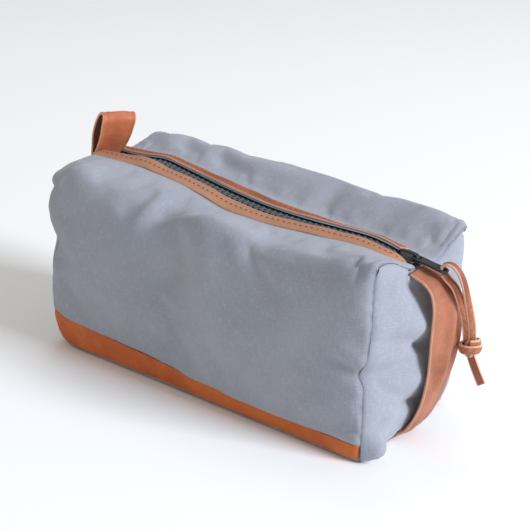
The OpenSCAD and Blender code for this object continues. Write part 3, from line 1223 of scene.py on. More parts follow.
    def settle(self, grid: np.ndarray) -> np.ndarray:
        """Lets the corners sit as they do in use.

        Args:
            grid: Points of any piece of the shell, in mm.

        Returns:
            The same points, with the loop end's foot lifted, its upper
            front corner full, and the strap end's seam pinched.
        """
        out = grid.copy()
        x, y, z = (grid[..., k] for k in range(3))
        foot = ease((38 - z) / 38)
        lift = 9.5 * ease((-x - 104) / 20) ** 1.4 * foot
        out[..., 2] += lift * (1 - 0.25 * ease((y + 20) / 60))
        out[..., 0] += 3.0 * ease((-x - 108) / 14) * ease((16 - z) / 16)
        full = bell(z - 94, 24) * ease((-x - 96) / 22)
        out[..., 0] -= 4.6 * full * ease((-y - 20) / 26)
        out[..., 1] -= 2.6 * full * ease((-y - 30) / 18)
        out[..., 0] -= 3.2 * bell(z - 100, 22) * ease((-x - 100) / 20) * ease((y - 25) / 25)
        out[..., 1] += 2.0 * bell(z - 108, 20) * ease((-x - 96) / 22) * ease((y - 30) / 18)
        waist = bell(z - 72, 10) * ease((-x - 98) / 22) * ease((-y - 34) / 14)
        out[..., 0] += 4.2 * waist
        out[..., 1] += 1.6 * waist
        near = ease((x - 98) / 22) * ease((-y - 34) / 14)
        out[..., 0] -= 3.6 * bell(z - 55, 6.5) * near
        out[..., 0] += 1.6 * bell(z - 22, 16) * near
        out[..., 0] += 1.4 * bell(z - 84, 20) * near
        back = ease((x - 92) / 26) * ease((y - 30) / 18)
        out[..., 0] += 2.5 * bell(z - 92, 24) * back
        out[..., 0] -= 3.0 * ease((30 - z) / 30) * back
        out[..., 2] += 1.5 * ease((20 - z) / 20) * ease((x - 108) / 14) * ease(y / 20)
        return out

    def seam_dark(self, grid: np.ndarray) -> np.ndarray:
        """Painted shade in the groove of the end seams of a half shell."""
        step = np.abs(np.arange(grid.shape[1])[None, :].repeat(grid.shape[0], 0))
        far = grid.shape[1] - 1 - step
        top = np.arange(grid.shape[0])[:, None] > self.corner()
        near = np.minimum(step, far + 9 * top)
        return np.clip(1 - near / 1.6, 0, 1) * 0.9

    def open_share(self, x: np.ndarray) -> np.ndarray:
        """How much the zip edge follows its flap at each x, in mm."""
        a, b, c, d = self.lens
        return ease((x - a) / (b - a)) * ease((d - x) / (d - c))

    def flap_share(self, verts: np.ndarray) -> np.ndarray:
        """How much each vertex of the shell follows its flap.

        Args:
            verts: Vertices in metres.

        Returns:
            0 on the wall and at the ends, 1 beside the middle of the zip.
        """
        x, y, z = (verts / MM).T
        top = ease((z - 96) / 10)
        turned = ease((self.hinge_y + 6.5 - np.abs(y)) / 13)
        return turned * top * self.open_share(x)


def bend_with(piece: bpy.types.Object, side: Side, share: np.ndarray) -> bpy.types.Object:
    """Lets a piece bend between the walls and one flap.

    Args:
        piece: A finished mesh with no parent.
        side: Whose flap it goes with.
        share: How much each vertex follows the flap, from 0 to 1.

    Returns:
        The same piece.
    """
    low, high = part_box(f"{side.word}_top_canvas")
    start, end = (0, low.y, high.z), (0, high.y, high.z)
    if side is Side.BACK:
        start, end = end, start
    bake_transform(piece, "bag", f"{side.word}_flap", start=start, end=end)
    layer = piece.data.attributes["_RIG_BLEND"]
    layer.data.foreach_set("value", np.asarray(share, np.float32))
    return piece


def vertices(piece: bpy.types.Object) -> np.ndarray:
    """The places of a piece's vertices, in metres."""
    co = np.zeros(len(piece.data.vertices) * 3, np.float32)
    piece.data.vertices.foreach_get("co", co)
    return co.reshape(-1, 3).astype(float)


# ---------------------------------------------------------------- pieces


@dataclass
class CanvasPanels:
    """The two long panels, sewn to the zip, and the two end panels."""

    form: BagForm
    finishes: Finishes
    strap_line: np.ndarray
    bulges: tuple[float, float] = (7.0, 9.0)

    def tuck(self, grid: np.ndarray, side: Side) -> np.ndarray:
        """Draws the foot of a wall in, behind the leather base."""
        x = grid[..., 0]
        lip = self.form.lip(x.ravel(), side).reshape(x.shape)
        rows = np.arange(grid.shape[0])[:, None]
        wall = rows < self.form.corner()
        lift = 9.5 * ease((-x - 104) / 20) ** 1.4 * ease((38 - lip) / 38)
        hidden = ease((lip + lift - grid[..., 2] + 0.6) / 3.0) * wall
        out = grid.copy()
        out[..., 1] -= side.value * 2.3 * hidden
        return out

    def long_panel(self, side: Side) -> bpy.types.Object:
        """One wall with its half of the top."""
        grid = self.form.half_shell(side)
        # painted shade for the grooves of the end seams
        painted_shade = self.form.seam_dark(grid)
        grid = self.tuck(grid, side)
        piece = shell(
            f"{side.word}_panel",
            grid * MM,
            self.form.canvas,
            outward=-1 if side is Side.FRONT else 1,
            shade=painted_shade,
        )
        dress(piece, self.finishes.canvas)
        bend_with(piece, side, self.form.flap_share(vertices(piece)))
        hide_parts(f"{side.word}_canvas", f"{side.word}_top_canvas")
        return piece

    def border(self, end: End) -> tuple[np.ndarray, np.ndarray, np.ndarray]:
        """Seam lines round one end: front edge, top edge and back edge."""
        column = 0 if end is End.LOOP else -1
        front = self.form.half_shell(Side.FRONT)[:, column]
        back = self.form.half_shell(Side.BACK)[:, column]
        turn = self.form.corner()
        top = np.concatenate([front[turn:], back[turn:][::-1]])
        return front[: turn + 1], top, back[: turn + 1]

    def creases(self, end: End) -> list[Fold]:
        """Folds of an end panel, at x = 0, in mm."""
        if end is End.STRAP:
            return [
                Fold(((0, -40, 110), (0, -30, 98), (0, -22, 86)), 8.0, 2.6),
                Fold(((0, -20, 104), (0, -14, 98), (0, -10, 94)), 5.0, -4.0),
                Fold(((0, -26, 80), (0, -10, 76), (0, 2, 74)), 7.5, 5.0),
                Fold(((0, -15, 65), (0, -8, 62), (0, 0, 60)), 4.0, -4.5),
                Fold(((0, -26, 50), (0, -10, 46), (0, 2, 44)), 9.0, 4.5),
                Fold(((0, -20, 30), (0, -12, 28), (0, -4, 27)), 4.0, -3.5),
                Fold(((0, -50, 57), (0, -40, 62), (0, -24, 66)), 4.5, 2.4),
                Fold(((0, -48, 73), (0, -38, 74), (0, -26, 70)), 5.0, -2.0),
                Fold(((0, -50, 50), (0, -40, 46), (0, -30, 40)), 4.0, -1.8),
                Fold(((0, -46, 34), (0, -36, 28), (0, -26, 20)), 6.0, 2.2),
                Fold(((0, -50, 6), (0, -44, 8), (0, -36, 12)), 8.0, 5.0),
                Fold(((0, 22, 98), (0, 18, 78), (0, 18, 60)), 6.0, -2.4),
                Fold(((0, 38, 104), (0, 34, 80), (0, 36, 54)), 8.0, 2.2),
                Fold(((0, 20, 46), (0, 30, 34), (0, 44, 30)), 6.0, -1.6),
            ]
        return [
            Fold(((0, -46, 104), (0, -30, 84), (0, -8, 70)), 8.0, 2.4),
            Fold(((0, -46, 70), (0, -34, 56), (0, -20, 46)), 6.0, -2.2),
            Fold(((0, -44, 40), (0, -30, 44), (0, -12, 56)), 6.0, 1.8),
            Fold(((0, 44, 100), (0, 28, 80), (0, 6, 72)), 9.0, 2.0),
            Fold(((0, 44, 62), (0, 26, 52), (0, 10, 36)), 7.0, -2.0),
            Fold(((0, 0, 110), (0, -4, 92), (0, 2, 76)), 7.0, -1.8),
            Fold(((0, 20, 30), (0, 0, 26), (0, -22, 20)), 7.0, 1.6),
        ]

    def end_panel(self, end: End) -> bpy.types.Object:
        """The gathered panel that closes one end."""
        front, top, back = self.border(end)
        high, wide = 58, 64
        left, right = even(front, high), even(back, high)
        upper = even(top, wide)
        floor = np.linspace(left[0], right[0], wide)
        q = np.linspace(0, 1, high)[:, None, None]
        p = np.linspace(0, 1, wide)[None, :, None]
        grid = (
            (1 - p) * left[:, None]
            + p * right[:, None]
            + (1 - q) * floor[None]
            + q * upper[None]
            - (1 - p) * (1 - q) * left[0]
            - p * (1 - q) * right[0]
            - (1 - p) * q * left[-1]
            - p * q * right[-1]
        )
        y, z = grid[..., 1], grid[..., 2]
        side_gap = np.minimum(p, 1 - p)[..., 0] * 104
        top_gap = (1 - q)[..., 0] * 112 + 0 * y
        foot_gap = q[..., 0] * 112 + 0 * y
        soft = 3.4 if end is End.LOOP else 2.6
        lip = np.tanh(side_gap / 2.6) * np.tanh(top_gap / soft) * np.tanh(foot_gap / 4)
        belly = np.tanh(side_gap / 22) * np.tanh(top_gap / 26) * np.tanh(foot_gap / 22)
        bulge = self.bulges[0 if end is End.LOOP else 1]
        out = (1.7 if end is End.LOOP else 1.3) * lip + bulge * belly
        flat = np.stack([np.zeros_like(y), y, z], axis=2)
        free = np.tanh(side_gap / 5) * np.tanh(top_gap / 5) * np.tanh(foot_gap / 5)
        seed = 21 if end is End.STRAP else 31
        for fold in self.creases(end):
            out = out + fold.at(flat) * (0.3 + 0.7 * free)
        out = out + free * 0.9 * Ripples(34, seed).at(flat)
        out = out + free * 0.35 * Ripples(13, seed + 1).at(flat)
        rim = bell(side_gap, 9) * np.tanh(side_gap / 2.5)
        out = out + 0.2 * rim * Ripples(10, seed + 2).at(flat)
        front_end = ease((-y - 10) / 34) * np.tanh(side_gap / 3)
        if end is End.LOOP:
            out = out + 4.4 * bell(z - 72, 12) * front_end
        else:
            pouch = bell(y + 44, 9) * bell(z - 6, 14) * np.tanh(foot_gap / 3)
            out = out + 6.5 * pouch * np.tanh(side_gap / 3)
            line = self.strap_line[::-1]
            room = np.interp(z, line[:, 1], line[:, 0]) - 2.6
            near = ease((16.5 - np.abs(y)) / 4)
            out = out - near * np.maximum(out - room, 0)
        grid[..., 0] += end.value * out
        seam = side_gap + 0 * y
        if end is End.LOOP:
            seam = np.minimum(seam, top_gap)
        # painted shade along the seam grooves at the panel's edges
        painted_shade = np.clip(1 - seam / 1.6, 0, 1) * 0.9
        piece = shell(
            f"{end.word}_panel",
            grid * MM,
            self.form.canvas,
            outward=-1 if end is End.STRAP else 1,
            shade=painted_shade,
        )
        dress(piece, self.finishes.canvas)
        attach(piece, "bag")
        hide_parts(f"{end.word}_canvas")
        return piece

    def binding(self, end: End) -> bpy.types.Object:
        """Tape folded over the seam allowance inside one end."""
        front, _, back = self.border(end)
        inset = np.array([-end.value * 5.2, 3.0, 0.0])
        down = front[::-1] + inset
        up = back + inset * np.array([1, -1, 1])
        line = np.concatenate([down[6:-2], up[2:-6]])
        line[:, 2] = np.maximum(line[:, 2], 3.2)
        line = even(curve(even(line, 30), 6), 170) * MM
        across = np.tile([1.0, 0.0, 0.0], (len(line), 1))
        piece = ribbon(f"{end.word}_seam_binding", line, across, 9 * MM, 1.0 * MM)
        dress(piece, self.finishes.binding)
        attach(piece, "bag")
        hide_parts(f"{end.word}_binding")
        return piece

    def build(self) -> list[bpy.types.Object]:
        """All the canvas and the bindings inside it."""
        made = [self.long_panel(side) for side in Side]
        made += [self.end_panel(end) for end in End]
        made += [self.binding(end) for end in End]
        return made


@dataclass
class LeatherBase:
    """The leather that wraps the foot of the bag, front to back."""

    form: BagForm
    finishes: Finishes
    thickness: float = 1.8 * MM
    corner_radius: float = 5.6
    lift: float = 0.6
    wall_start: float = 6.2
    proud: float = 0.55

    def build(self) -> bpy.types.Object:
        """The base as one sheet of leather."""
        x = self.form.columns()
        radius = self.corner_radius
        sides = []
        for side in Side:
            section = curve(self.form.controls(x, side), list(self.form.per_span))
            grid = np.concatenate(
                [np.broadcast_to(x[:, None, None], (*section.shape[:2], 1)), section], 2
            ).transpose(1, 0, 2)
            turned = self.form.turn_ends(grid, side)
            lip = self.form.lip(x, side)
            start = self.wall_start
            levels = np.linspace(0, 1, 15)[:, None] * (lip - start)[None, :] + start
            rows = self.form.corner()
            wall = np.stack(
                [
                    np.stack(
                        [
                            np.interp(levels[:, c], turned[:rows, c, 2], turned[:rows, c, k])
                            for k in range(2)
                        ],
                        axis=1,
                    )
                    for c in range(len(x))
                ],
                axis=1,
            )
            wall = np.concatenate([wall, levels[..., None]], axis=2)
            wall[..., 1] += side.value * self.proud
            turn = np.radians(np.linspace(90, 0, 7))[:-1, None]
            foot = wall[:1]
            corner = np.concatenate(
                [
                    np.broadcast_to(foot[..., :1], (6, len(x), 1)),
                    (foot[..., 1] - side.value * radius * (1 - np.cos(turn)))[..., None],
                    (self.lift + radius * (1 - np.sin(turn)) + 0 * x)[..., None],
                ],
                axis=2,
            )
            sides.append(np.concatenate([corner, wall], axis=0))
        front, back = sides
        share = np.linspace(0, 1, 22)[1:-1, None, None]
        under = front[0] * (1 - share) + back[0] * share
        under[..., 2] = 0.0
        bow = np.sin(math.pi * share[..., 0])
        under[..., 2] += 0.02 + 0.5 * bow
        grid = np.concatenate([front[::-1], under, back], axis=0)
        grid = self.form.settle(grid)
        wave = Ripples(24, 51).at(grid) * 0.18 + Ripples(70, 52).at(grid) * 0.25
        rows = np.arange(len(grid))[:, None]
        rim = ease(rows / 6) * ease((len(grid) - 1 - rows) / 6)
        shown = 1 - np.exp(-((np.abs(grid[..., 1]) / 50) ** 8))
        grid[..., 1] += np.sign(grid[..., 1]) * wave * rim * shown
        grid[..., 2] = np.maximum(grid[..., 2], 0.0)
        piece = shell("base_leather", grid * MM, self.thickness, outward=-1, shade=None)
        count = grid.shape[0] * grid.shape[1]
        border = np.zeros(grid.shape[:2])
        border[0] = border[-1] = border[:, 0] = border[:, -1] = 0.85
        border[1] = border[-2] = 0.3
        store(piece, "edge", np.tile(border.ravel(), 2))
        store(piece, "flesh", np.repeat([0.0, 1.0], count))
        dress(piece, self.finishes.base)
        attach(piece, "bag")
        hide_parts("leather_base")
        return piece


@dataclass
class ZipTrims:
    """The leather strips that are stitched along both sides of the zip."""

    form: BagForm
    finishes: Finishes
    thickness: float = 1.8 * MM
    width: float = 10.0
    stitch: float = 3.9
    row: float = -0.7

    def line(self, side: Side, x: np.ndarray) -> tuple[np.ndarray, np.ndarray]:
        """Inner and outer edge of a strip at each x, in mm."""
        frame = self.form.controls(x, side)
        inner_gap = -0.3 if side is Side.FRONT else 0.7
        seam, zip_edge = frame[:, 9], frame[:, 10]
        way = unit(seam - zip_edge)
        inner = zip_edge + way * inner_gap
        outer = inner + way * self.width
        if side is Side.FRONT:
            inner[:, 1] += through(
                [-120, -100, -86, -66, -50, -36, -6, 24, 54, 84, 98, 108, 118],
                [1.0, 2.4, 3.0, 1.0, 1.8, 2.2, 0.6, 0.6, 1.4, 2.4, 3.2, 3.0, 0.6],
                x,
            )
        return (
            np.concatenate([x[:, None], inner], axis=1),
            np.concatenate([x[:, None], outer], axis=1),
        )

    def strip(self, side: Side) -> list[bpy.types.Object]:
        """One strip and its row of stitches."""
        low, high = (-118.5, 117.5) if side is Side.FRONT else (-118.5, 102.0)
        x = np.linspace(low, high, 150)
        inner, outer = self.line(side, x)
        middle = (inner + outer) / 2
        across = unit(outer - inner)
        normal = unit(np.cross(np.gradient(middle, axis=0), across))
        normal *= np.sign(normal[:, 2:3])
        lift = 1.15 + 0.25 * Ripples(30, 61 + side.value).at(middle)
        centre = middle + normal * lift[:, None]
        width = np.full(len(x), self.width)
        if side is Side.FRONT:
            tail = ease((x - 104) / 14)
            centre[:, 2] -= 3.4 * tail**1.5
            centre[:, 1] += 1.2 * tail
            width = self.width * (1 - 0.55 * ease((x - 112) / 5.5) ** 2)
        width = width + 0.35 * Ripples(22, 66 + side.value).at(middle)
        steps = 12
        s = np.linspace(-1, 1, steps + 1)
        groove = -0.28 * bell(s * self.width / 2 - self.row, 1.1)
        crown = np.tile(groove + 0.25 * (1 - s**2), (len(x), 1)) * MM
        piece = ribbon(
            f"{side.word}_trim",
            centre * MM,
            across,
            width * MM,
            self.thickness,
            crown,
            steps,
        )
        verts = vertices(piece)
        dress(piece, self.finishes.trim)
        bend_with(piece, side, self.form.open_share(verts[:, 0] / MM))
        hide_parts(f"{side.word}_zip_trim")
        return [piece, self.stitches(side, centre, across, normal)]

    def stitches(
        self, side: Side, centre: np.ndarray, across: np.ndarray, normal: np.ndarray
    ) -> bpy.types.Object:
        """The row of thread near the inner edge of a strip.

        Args:
            side: Front or back.
            centre: The strip's centre line, in mm.
            across: Its width direction.
            normal: Its upward direction.

        Returns:
            All the stitches of that row as one piece.
        """
        inner = centre + across * self.row + normal * 0.72
        at = lengths(inner)
        starts = np.arange(6.0, at[-1] - 8.0, self.stitch)
        verts, faces = [], []
        for start in starts:
            path = np.linspace(start + 0.9, start + self.stitch - 0.9, 6)
            line = np.stack([np.interp(path, at, c) for c in inner.T], axis=1)
            up = np.stack([np.interp(path, at, c) for c in normal.T], axis=1)
            line += up * (0.38 * np.sin(np.linspace(0, math.pi, 6)) - 0.1)[:, None]
            way = unit(np.gradient(line, axis=0))
            side_way = unit(np.cross(way, up))
            first = len(verts)
            for k in range(6):
                r = 0.34 if 0 < k < 5 else 0.2
                for a in np.radians([0, 60, 120, 180, 240, 300]):
                    verts.append(line[k] + side_way[k] * r * math.cos(a) + up[k] * r * math.sin(a))
            for k in range(5):
                for a in range(6):
                    b = (a + 1) % 6
                    faces.append(
                        [
                            first + k * 6 + a,
                            first + k * 6 + b,
                            first + k * 6 + 6 + b,
                            first + k * 6 + 6 + a,
                        ]
                    )
            faces.append([first + a for a in range(5, -1, -1)])
            faces.append([first + 30 + a for a in range(6)])
        piece = new_object(f"{side.word}_trim_stitches", np.array(verts) * MM, faces)
        co = vertices(piece)
        store(piece, "cloth", co)
        dress(piece, self.finishes.thread)
        bend_with(piece, side, self.form.open_share(co[:, 0] / MM))
        return piece

    def build(self) -> list[bpy.types.Object]:
        """Both strips with their stitches."""
        return [p for side in Side for p in self.strip(side)]


@dataclass
class ZipChain:
    """Tapes and teeth of the zip; the stops at both ends stay the CAD parts."""

    form: BagForm
    finishes: Finishes
    pitch: float = 4.2
    half_chain: float = 5.0
    tooth_height: float = 3.4
    tape_level: float = -1.65
    tape_end: float = 118.4
    teeth_end: float = 113.0

    def tape(self, side: Side) -> bpy.types.Object:
        """One half of the woven tape, with its corded edge."""
        x = np.linspace(-self.tape_end, self.tape_end, 160)
        line = self.form.zip_line(x)
        across = np.tile([0.0, 1.0, 0.0], (len(x), 1))
        middle = line + np.array([0, side.value * 8.9, self.tape_level - 0.2])
        piece = ribbon(f"{side.word}_tape", middle * MM, across, 15.6 * MM, 0.8 * MM, steps=8)
        dress(piece, self.finishes.tape)
        return piece

    def tooth(self, side: Side) -> tuple[np.ndarray, list]:
        """One moulded tooth, its head over the middle, as points and faces.

        Args:
            side: Whose row it belongs to.

        Returns:
            Vertices in mm about the zip's middle line, and faces.
        """
        reach = self.half_chain
        top, edge = self.tooth_height / 2, 0.35
        rings = [(0.55, 0.18), (0.95, 0.0), (1.02, 0.0), (0.95, 0.0), (0.55, 0.18)]
        levels = [top, top - edge, 0.0, edge - top, -top]
        verts, faces = [], []
        for (half, inset), level in zip(rings, levels):
            outline = rounded(reach + 0.5 - 2 * inset, 2 * half, min(half * 0.9, 0.55))
            for u, w in outline:
                verts.append((w, side.value * (reach / 2 - edge + u), level))
        n = len(outline)
        for k in range(len(levels) - 1):
            for a in range(n):
                b = (a + 1) % n
                faces.append([k * n + a, k * n + b, (k + 1) * n + b, (k + 1) * n + a])
        dish = len(verts)
        for u, w in rounded(reach * 0.5, 0.75, 0.3):
            verts.append((w, side.value * (reach / 2 - 0.6 + u), levels[0] - 0.28))
        for a in range(n):
            b = (a + 1) % n
            faces.append([dish + a, dish + b, b, a])
        faces.append([dish + a for a in range(n - 1, -1, -1)])
        faces.append([(len(levels) - 1) * n + a for a in range(n)])
        if side is Side.FRONT:
            faces = [f[::-1] for f in faces]
        return np.array(verts), faces

    def row(self, side: Side) -> bpy.types.Object:
        """One row of teeth on its moulded core."""
        shape, shape_faces = self.tooth(side)
        phase = 0.0 if side is Side.FRONT else self.pitch / 2
        places = np.arange(-self.teeth_end + phase, self.teeth_end, self.pitch)
        line = self.form.zip_line(places)
        tilt = np.arctan2(
            self.form.zip_line(places + 1)[:, 2] - self.form.zip_line(places - 1)[:, 2],
            2.0,
        )
        verts, faces = [], []
        for k, centre in enumerate(line):
            c, s = math.cos(tilt[k]), math.sin(tilt[k])
            turned = shape @ np.array([[c, 0, s], [0, 1, 0], [-s, 0, c]])
            faces += [[i + len(verts) for i in f] for f in shape_faces]
            verts += list(turned + centre + np.array([0, 0, self.tape_level]))
        teeth = new_object(f"{side.word}_teeth", np.array(verts) * MM, faces)
        x = np.linspace(-117.0, 113.5, 150)
        core_line = self.form.zip_line(x) + np.array(
            [0, side.value * (self.half_chain - 0.2), self.tape_level]
        )
        across = np.tile([0.0, 1.0, 0.0], (len(x), 1))
        core = ribbon("core", core_line * MM, across, 1.5 * MM, 1.5 * MM, steps=4)
        for piece in (teeth, core):
            dress(piece, self.finishes.teeth)
        share_places = np.concatenate([np.repeat(places, len(shape)), vertices(core)[:, 0] / MM])
        joined = join(f"{side.word}_teeth", [teeth, core])
        bend_with(joined, side, self.form.open_share(share_places))
        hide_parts(f"{side.word}_zip_teeth", "zip_teeth_ends")
        return joined

    def build(self) -> list[bpy.types.Object]:
        """Tapes and teeth of both sides."""
        made = []
        for side in Side:
            tape = self.tape(side)
            bend_with(tape, side, self.form.open_share(vertices(tape)[:, 0] / MM))
            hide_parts(f"{side.word}_zip_tape", "zip_tape_ends")
            made += [tape, self.row(side)]
        return made


@dataclass
class Slider:
    """The moulded slider and the flat pull on its bridge."""

    form: BagForm
    finishes: Finishes
    nodes: dict
    droop: float = 5.0

    def on_top(self, piece: bpy.types.Object, u: float, w: float) -> None:
        """Moves a piece from the slider's own place to the top plane."""
        tilt = math.atan(self.form.top_slope)
        turn = Matrix.Rotation(tilt, 4, "Y")
        place = Matrix.Translation((0, 0, self.form.top_middle))
        piece.data.transform(place @ turn @ Matrix.Translation((u, 0, w)))

    def body(self, rest: float) -> bpy.types.Object:
        """Two shaped plates, rolled lips and an arched bridge.

        Args:
            rest: Where the slider parks, along the top plane.

        Returns:
            The slider as one piece.
        """
        half = [(-7.2, 0.0), (-7.0, 3.6), (-5.2, 5.0), (-1.0, 5.5)]
        half += [(3.2, 6.5), (6.2, 5.6), (7.2, 2.4), (6.6, 0.0)]
        outline = curve(mirrored(half, -1), 4)[:-1]
        parts = []
        for name, level in (("top", 1.15), ("low", -4.45)):
            part = plate(name, [outline * MM], 1.4 * MM, 0.45 * MM)
            part.data.transform(Matrix.Translation((0, 0, level * MM)))
            parts.append(part)
        for s in (-1, 1):
            run = np.array([(-5.4, 4.6), (-1, 5.2), (3.2, 6.1), (5.6, 5.6)])
            for level in (0.1, -3.4):
                line = curve(np.column_stack([run[:, 0], run[:, 1] * s, np.full(4, level)]), 5)
                across = np.tile([0.0, 0.0, 1.0], (len(line), 1))
                parts.append(ribbon("lip", line * MM, across, 1.9 * MM, 0.9 * MM, steps=4))
        arch = curve(
            np.array(
                [
                    (-5.6, 0, 1.4), (-5.5, 0, 3.2), (-4.2, 0, 4.6), (-1.0, 0, 5.0),
                    (3.0, 0, 5.0), (6.2, 0, 4.6), (7.3, 0, 3.2), (7.2, 0, 1.4),
                ]
            ),
            6,
        )
        across = np.tile([0.0, 1.0, 0.0], (len(arch), 1))
        width = 3.4 - 0.7 * np.sin(np.linspace(0, math.pi, len(arch))) ** 2
        parts.append(ribbon("bridge", arch * MM, across, width * MM, 1.1 * MM, steps=6))
        piece = join("slider", parts)
        dress(piece, self.finishes.slider)
        self.on_top(piece, rest, 0.0)
        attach(piece, "slider")
        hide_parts("slider_body")
        return piece

    def pull(self) -> bpy.types.Object:
        """The flat pull, with a window round the bridge and a lace hole."""
        low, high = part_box("zip_pull")
        bar = Vector((low.x + 0.8 * MM, 0, 0))
        turn = math.atan(self.form.top_slope) + math.radians(self.droop)
        half = [(-1.3, 0.0), (-1.0, -2.9), (1.5, -3.3), (4.4, -3.5), (11.0, -3.1)]
        half += [(17.0, -3.5), (20.0, -3.1), (21.7, -1.6), (22.1, 0.0)]
        outer = mirrored(half, 1)
        window = rounded(3.2, 3.9, 0.7, (2.3, 0.0))
        a = np.linspace(0, 2 * math.pi, 25)[:-1]
        hole = np.stack([18.6 + 2.0 * np.cos(a), 2.0 * np.sin(a)], axis=1)
        piece = plate(
            "pull",
            [curve(outer, 5)[:-1] * MM, window * MM, hole * MM],
            1.5 * MM,
            0.42 * MM,
        )
        rise = high.z - 0.7 * MM * math.cos(turn) - 0.9 * MM * math.sin(turn)
        place = Matrix.Translation((bar.x, 0, rise))
        piece.data.transform(place @ Matrix.Rotation(turn, 4, "Y"))
        dress(piece, self.finishes.pull)
        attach(piece, "pull")
        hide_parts("zip_pull")
        return piece

    def build(self) -> list[bpy.types.Object]:
        """The slider, its pull, and finishes for the moulded stops."""
        low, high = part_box("slider_body")
        mid = (low.x + high.x) / 2
        made = [self.body(mid), self.pull()]
        for name in ("zip_bottom_stop", "zip_top_stop_front", "zip_top_stop_back"):
            node = self.nodes[name]
            dress(node, self.finishes.teeth)
            soften = node.modifiers.new("soft_edges", "BEVEL")
            soften.width, soften.segments = 0.35 * MM, 3
        return made


@dataclass
class Lace:
    """The leather lace on the pull: two legs, a knot and a tail."""

    finishes: Finishes
    hole: np.ndarray
    width: float = 4.8 * MM
    thickness: float = 1.9 * MM
    tail_width: float = 5.2 * MM

    def leg(self, name: str, route: list, lean: list) -> bpy.types.Object:
        """One leg of the lace.

        Args:
            name: The piece's name.
            route: Points out from the hole, in mm.
            lean: The width's direction at the first and the last point.

        Returns:
            The leg.
        """
        path = even(curve(np.array(route, float), 8), 36) * MM + self.hole
        t = ease(np.linspace(0, 1, len(path)))[:, None]
        across = unit(np.array(lean[0]) * (1 - t) + np.array(lean[1]) * t)
        crown = np.tile(0.35 * (1 - np.linspace(-1, 1, 9) ** 2), (len(path), 1)) * MM
        piece = ribbon(name, path, across, self.width, self.thickness, crown, 8)
        dress(piece, self.finishes.lace)
        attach(piece, "lace")
        return piece, path

    def knot(self, place: np.ndarray) -> bpy.types.Object:
        """The band of lace that is wound round itself and pulled tight."""
        a = np.linspace(math.radians(-60), math.radians(470), 80)
        turn = (a - a[0]) / (a[-1] - a[0])
        radius = 4.4 + 0.5 * np.sin(a * 2)
        line = np.stack(
            [radius * np.cos(a) * 1.1, radius * np.sin(a) * 0.95, 2.4 - 5.0 * turn],
            axis=1,
        )
        out = unit(np.stack([np.cos(a), np.sin(a), 0 * a], axis=1))
        across = unit(np.array([0.0, 0.0, 1.0]) + 0.25 * out)
        line = line @ np.array(Matrix.Rotation(math.radians(-14), 3, "Y")).T
        crown = np.tile(0.5 * (1 - np.linspace(-1, 1, 9) ** 2), (len(line), 1)) * MM
        band = ribbon("band", line * MM + place, across, 6.2 * MM, 2.0 * MM, crown, 8)
        core_line = np.linspace([0.4, 0, 4.6], [0.2, 0.2, -5.6], 14)
        core_width = (7.4 - 2.6 * np.linspace(-1, 1, 14) ** 2) * MM
        core = ribbon(
            "core",
            core_line * MM + place,
            np.tile([1.0, 0.3, 0.0], (14, 1)),
            core_width,
            5.0 * MM,
            steps=6,
        )
        piece = join("knot", [band, core])
        dress(piece, self.finishes.lace)
        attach(piece, "lace")
        return piece

    def tail(self, place: np.ndarray) -> bpy.types.Object:
        """The short end that hangs out of the knot."""
        route = np.array([(0.6, 0, -3), (2.6, 0.4, -8), (5.8, 1.2, -15), (9.2, 1.8, -21.5)])
        line = even(curve(route, 6), 20) * MM + place
        across = -unit(np.linspace([0.9, 0.2, 0.1], [0.75, 0.55, 0.25], 20))
        piece = ribbon("lace_tail", line, across, self.tail_width, self.thickness, steps=8)
        dress(piece, self.finishes.lace)
        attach(piece, "lace")
        return piece

    def build(self) -> list[bpy.types.Object]:
        """The whole lace: two legs, a knot and a tail."""
        left, left_path = self.leg(
            "lace_front_leg",
            [
                (0.4, 0, -1.6), (3.0, 0.6, -4.6), (8.6, 1.4, -9.5), (12.2, 5, -21),
                (13.6, 9, -32), (14.0, 11.8, -43),
            ],
            [(0.5, 0.8, 0.2), (0.8, 0.5, 0.2)],
        )
        right, right_path = self.leg(
            "lace_over_leg",
            [
                (0.0, 0, -1.4), (0.2, 0.1, 2.2), (3.2, 0.5, 4.2), (7.4, 1.4, 2.8),
                (11.8, 3.0, -4), (14.8, 6.4, -18), (16.6, 10.0, -31), (17.0, 12.6, -43),
            ],
            [(0.0, 1, 0.0), (0.75, 0.65, 0.1)],
        )
        place = self.hole + np.array([15.8, 12.4, -46.5]) * MM
        knot, tail = self.knot(place), self.tail(place)
        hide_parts("pull_lace")
        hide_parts("lace_knot")
        return [left, right, knot, tail]


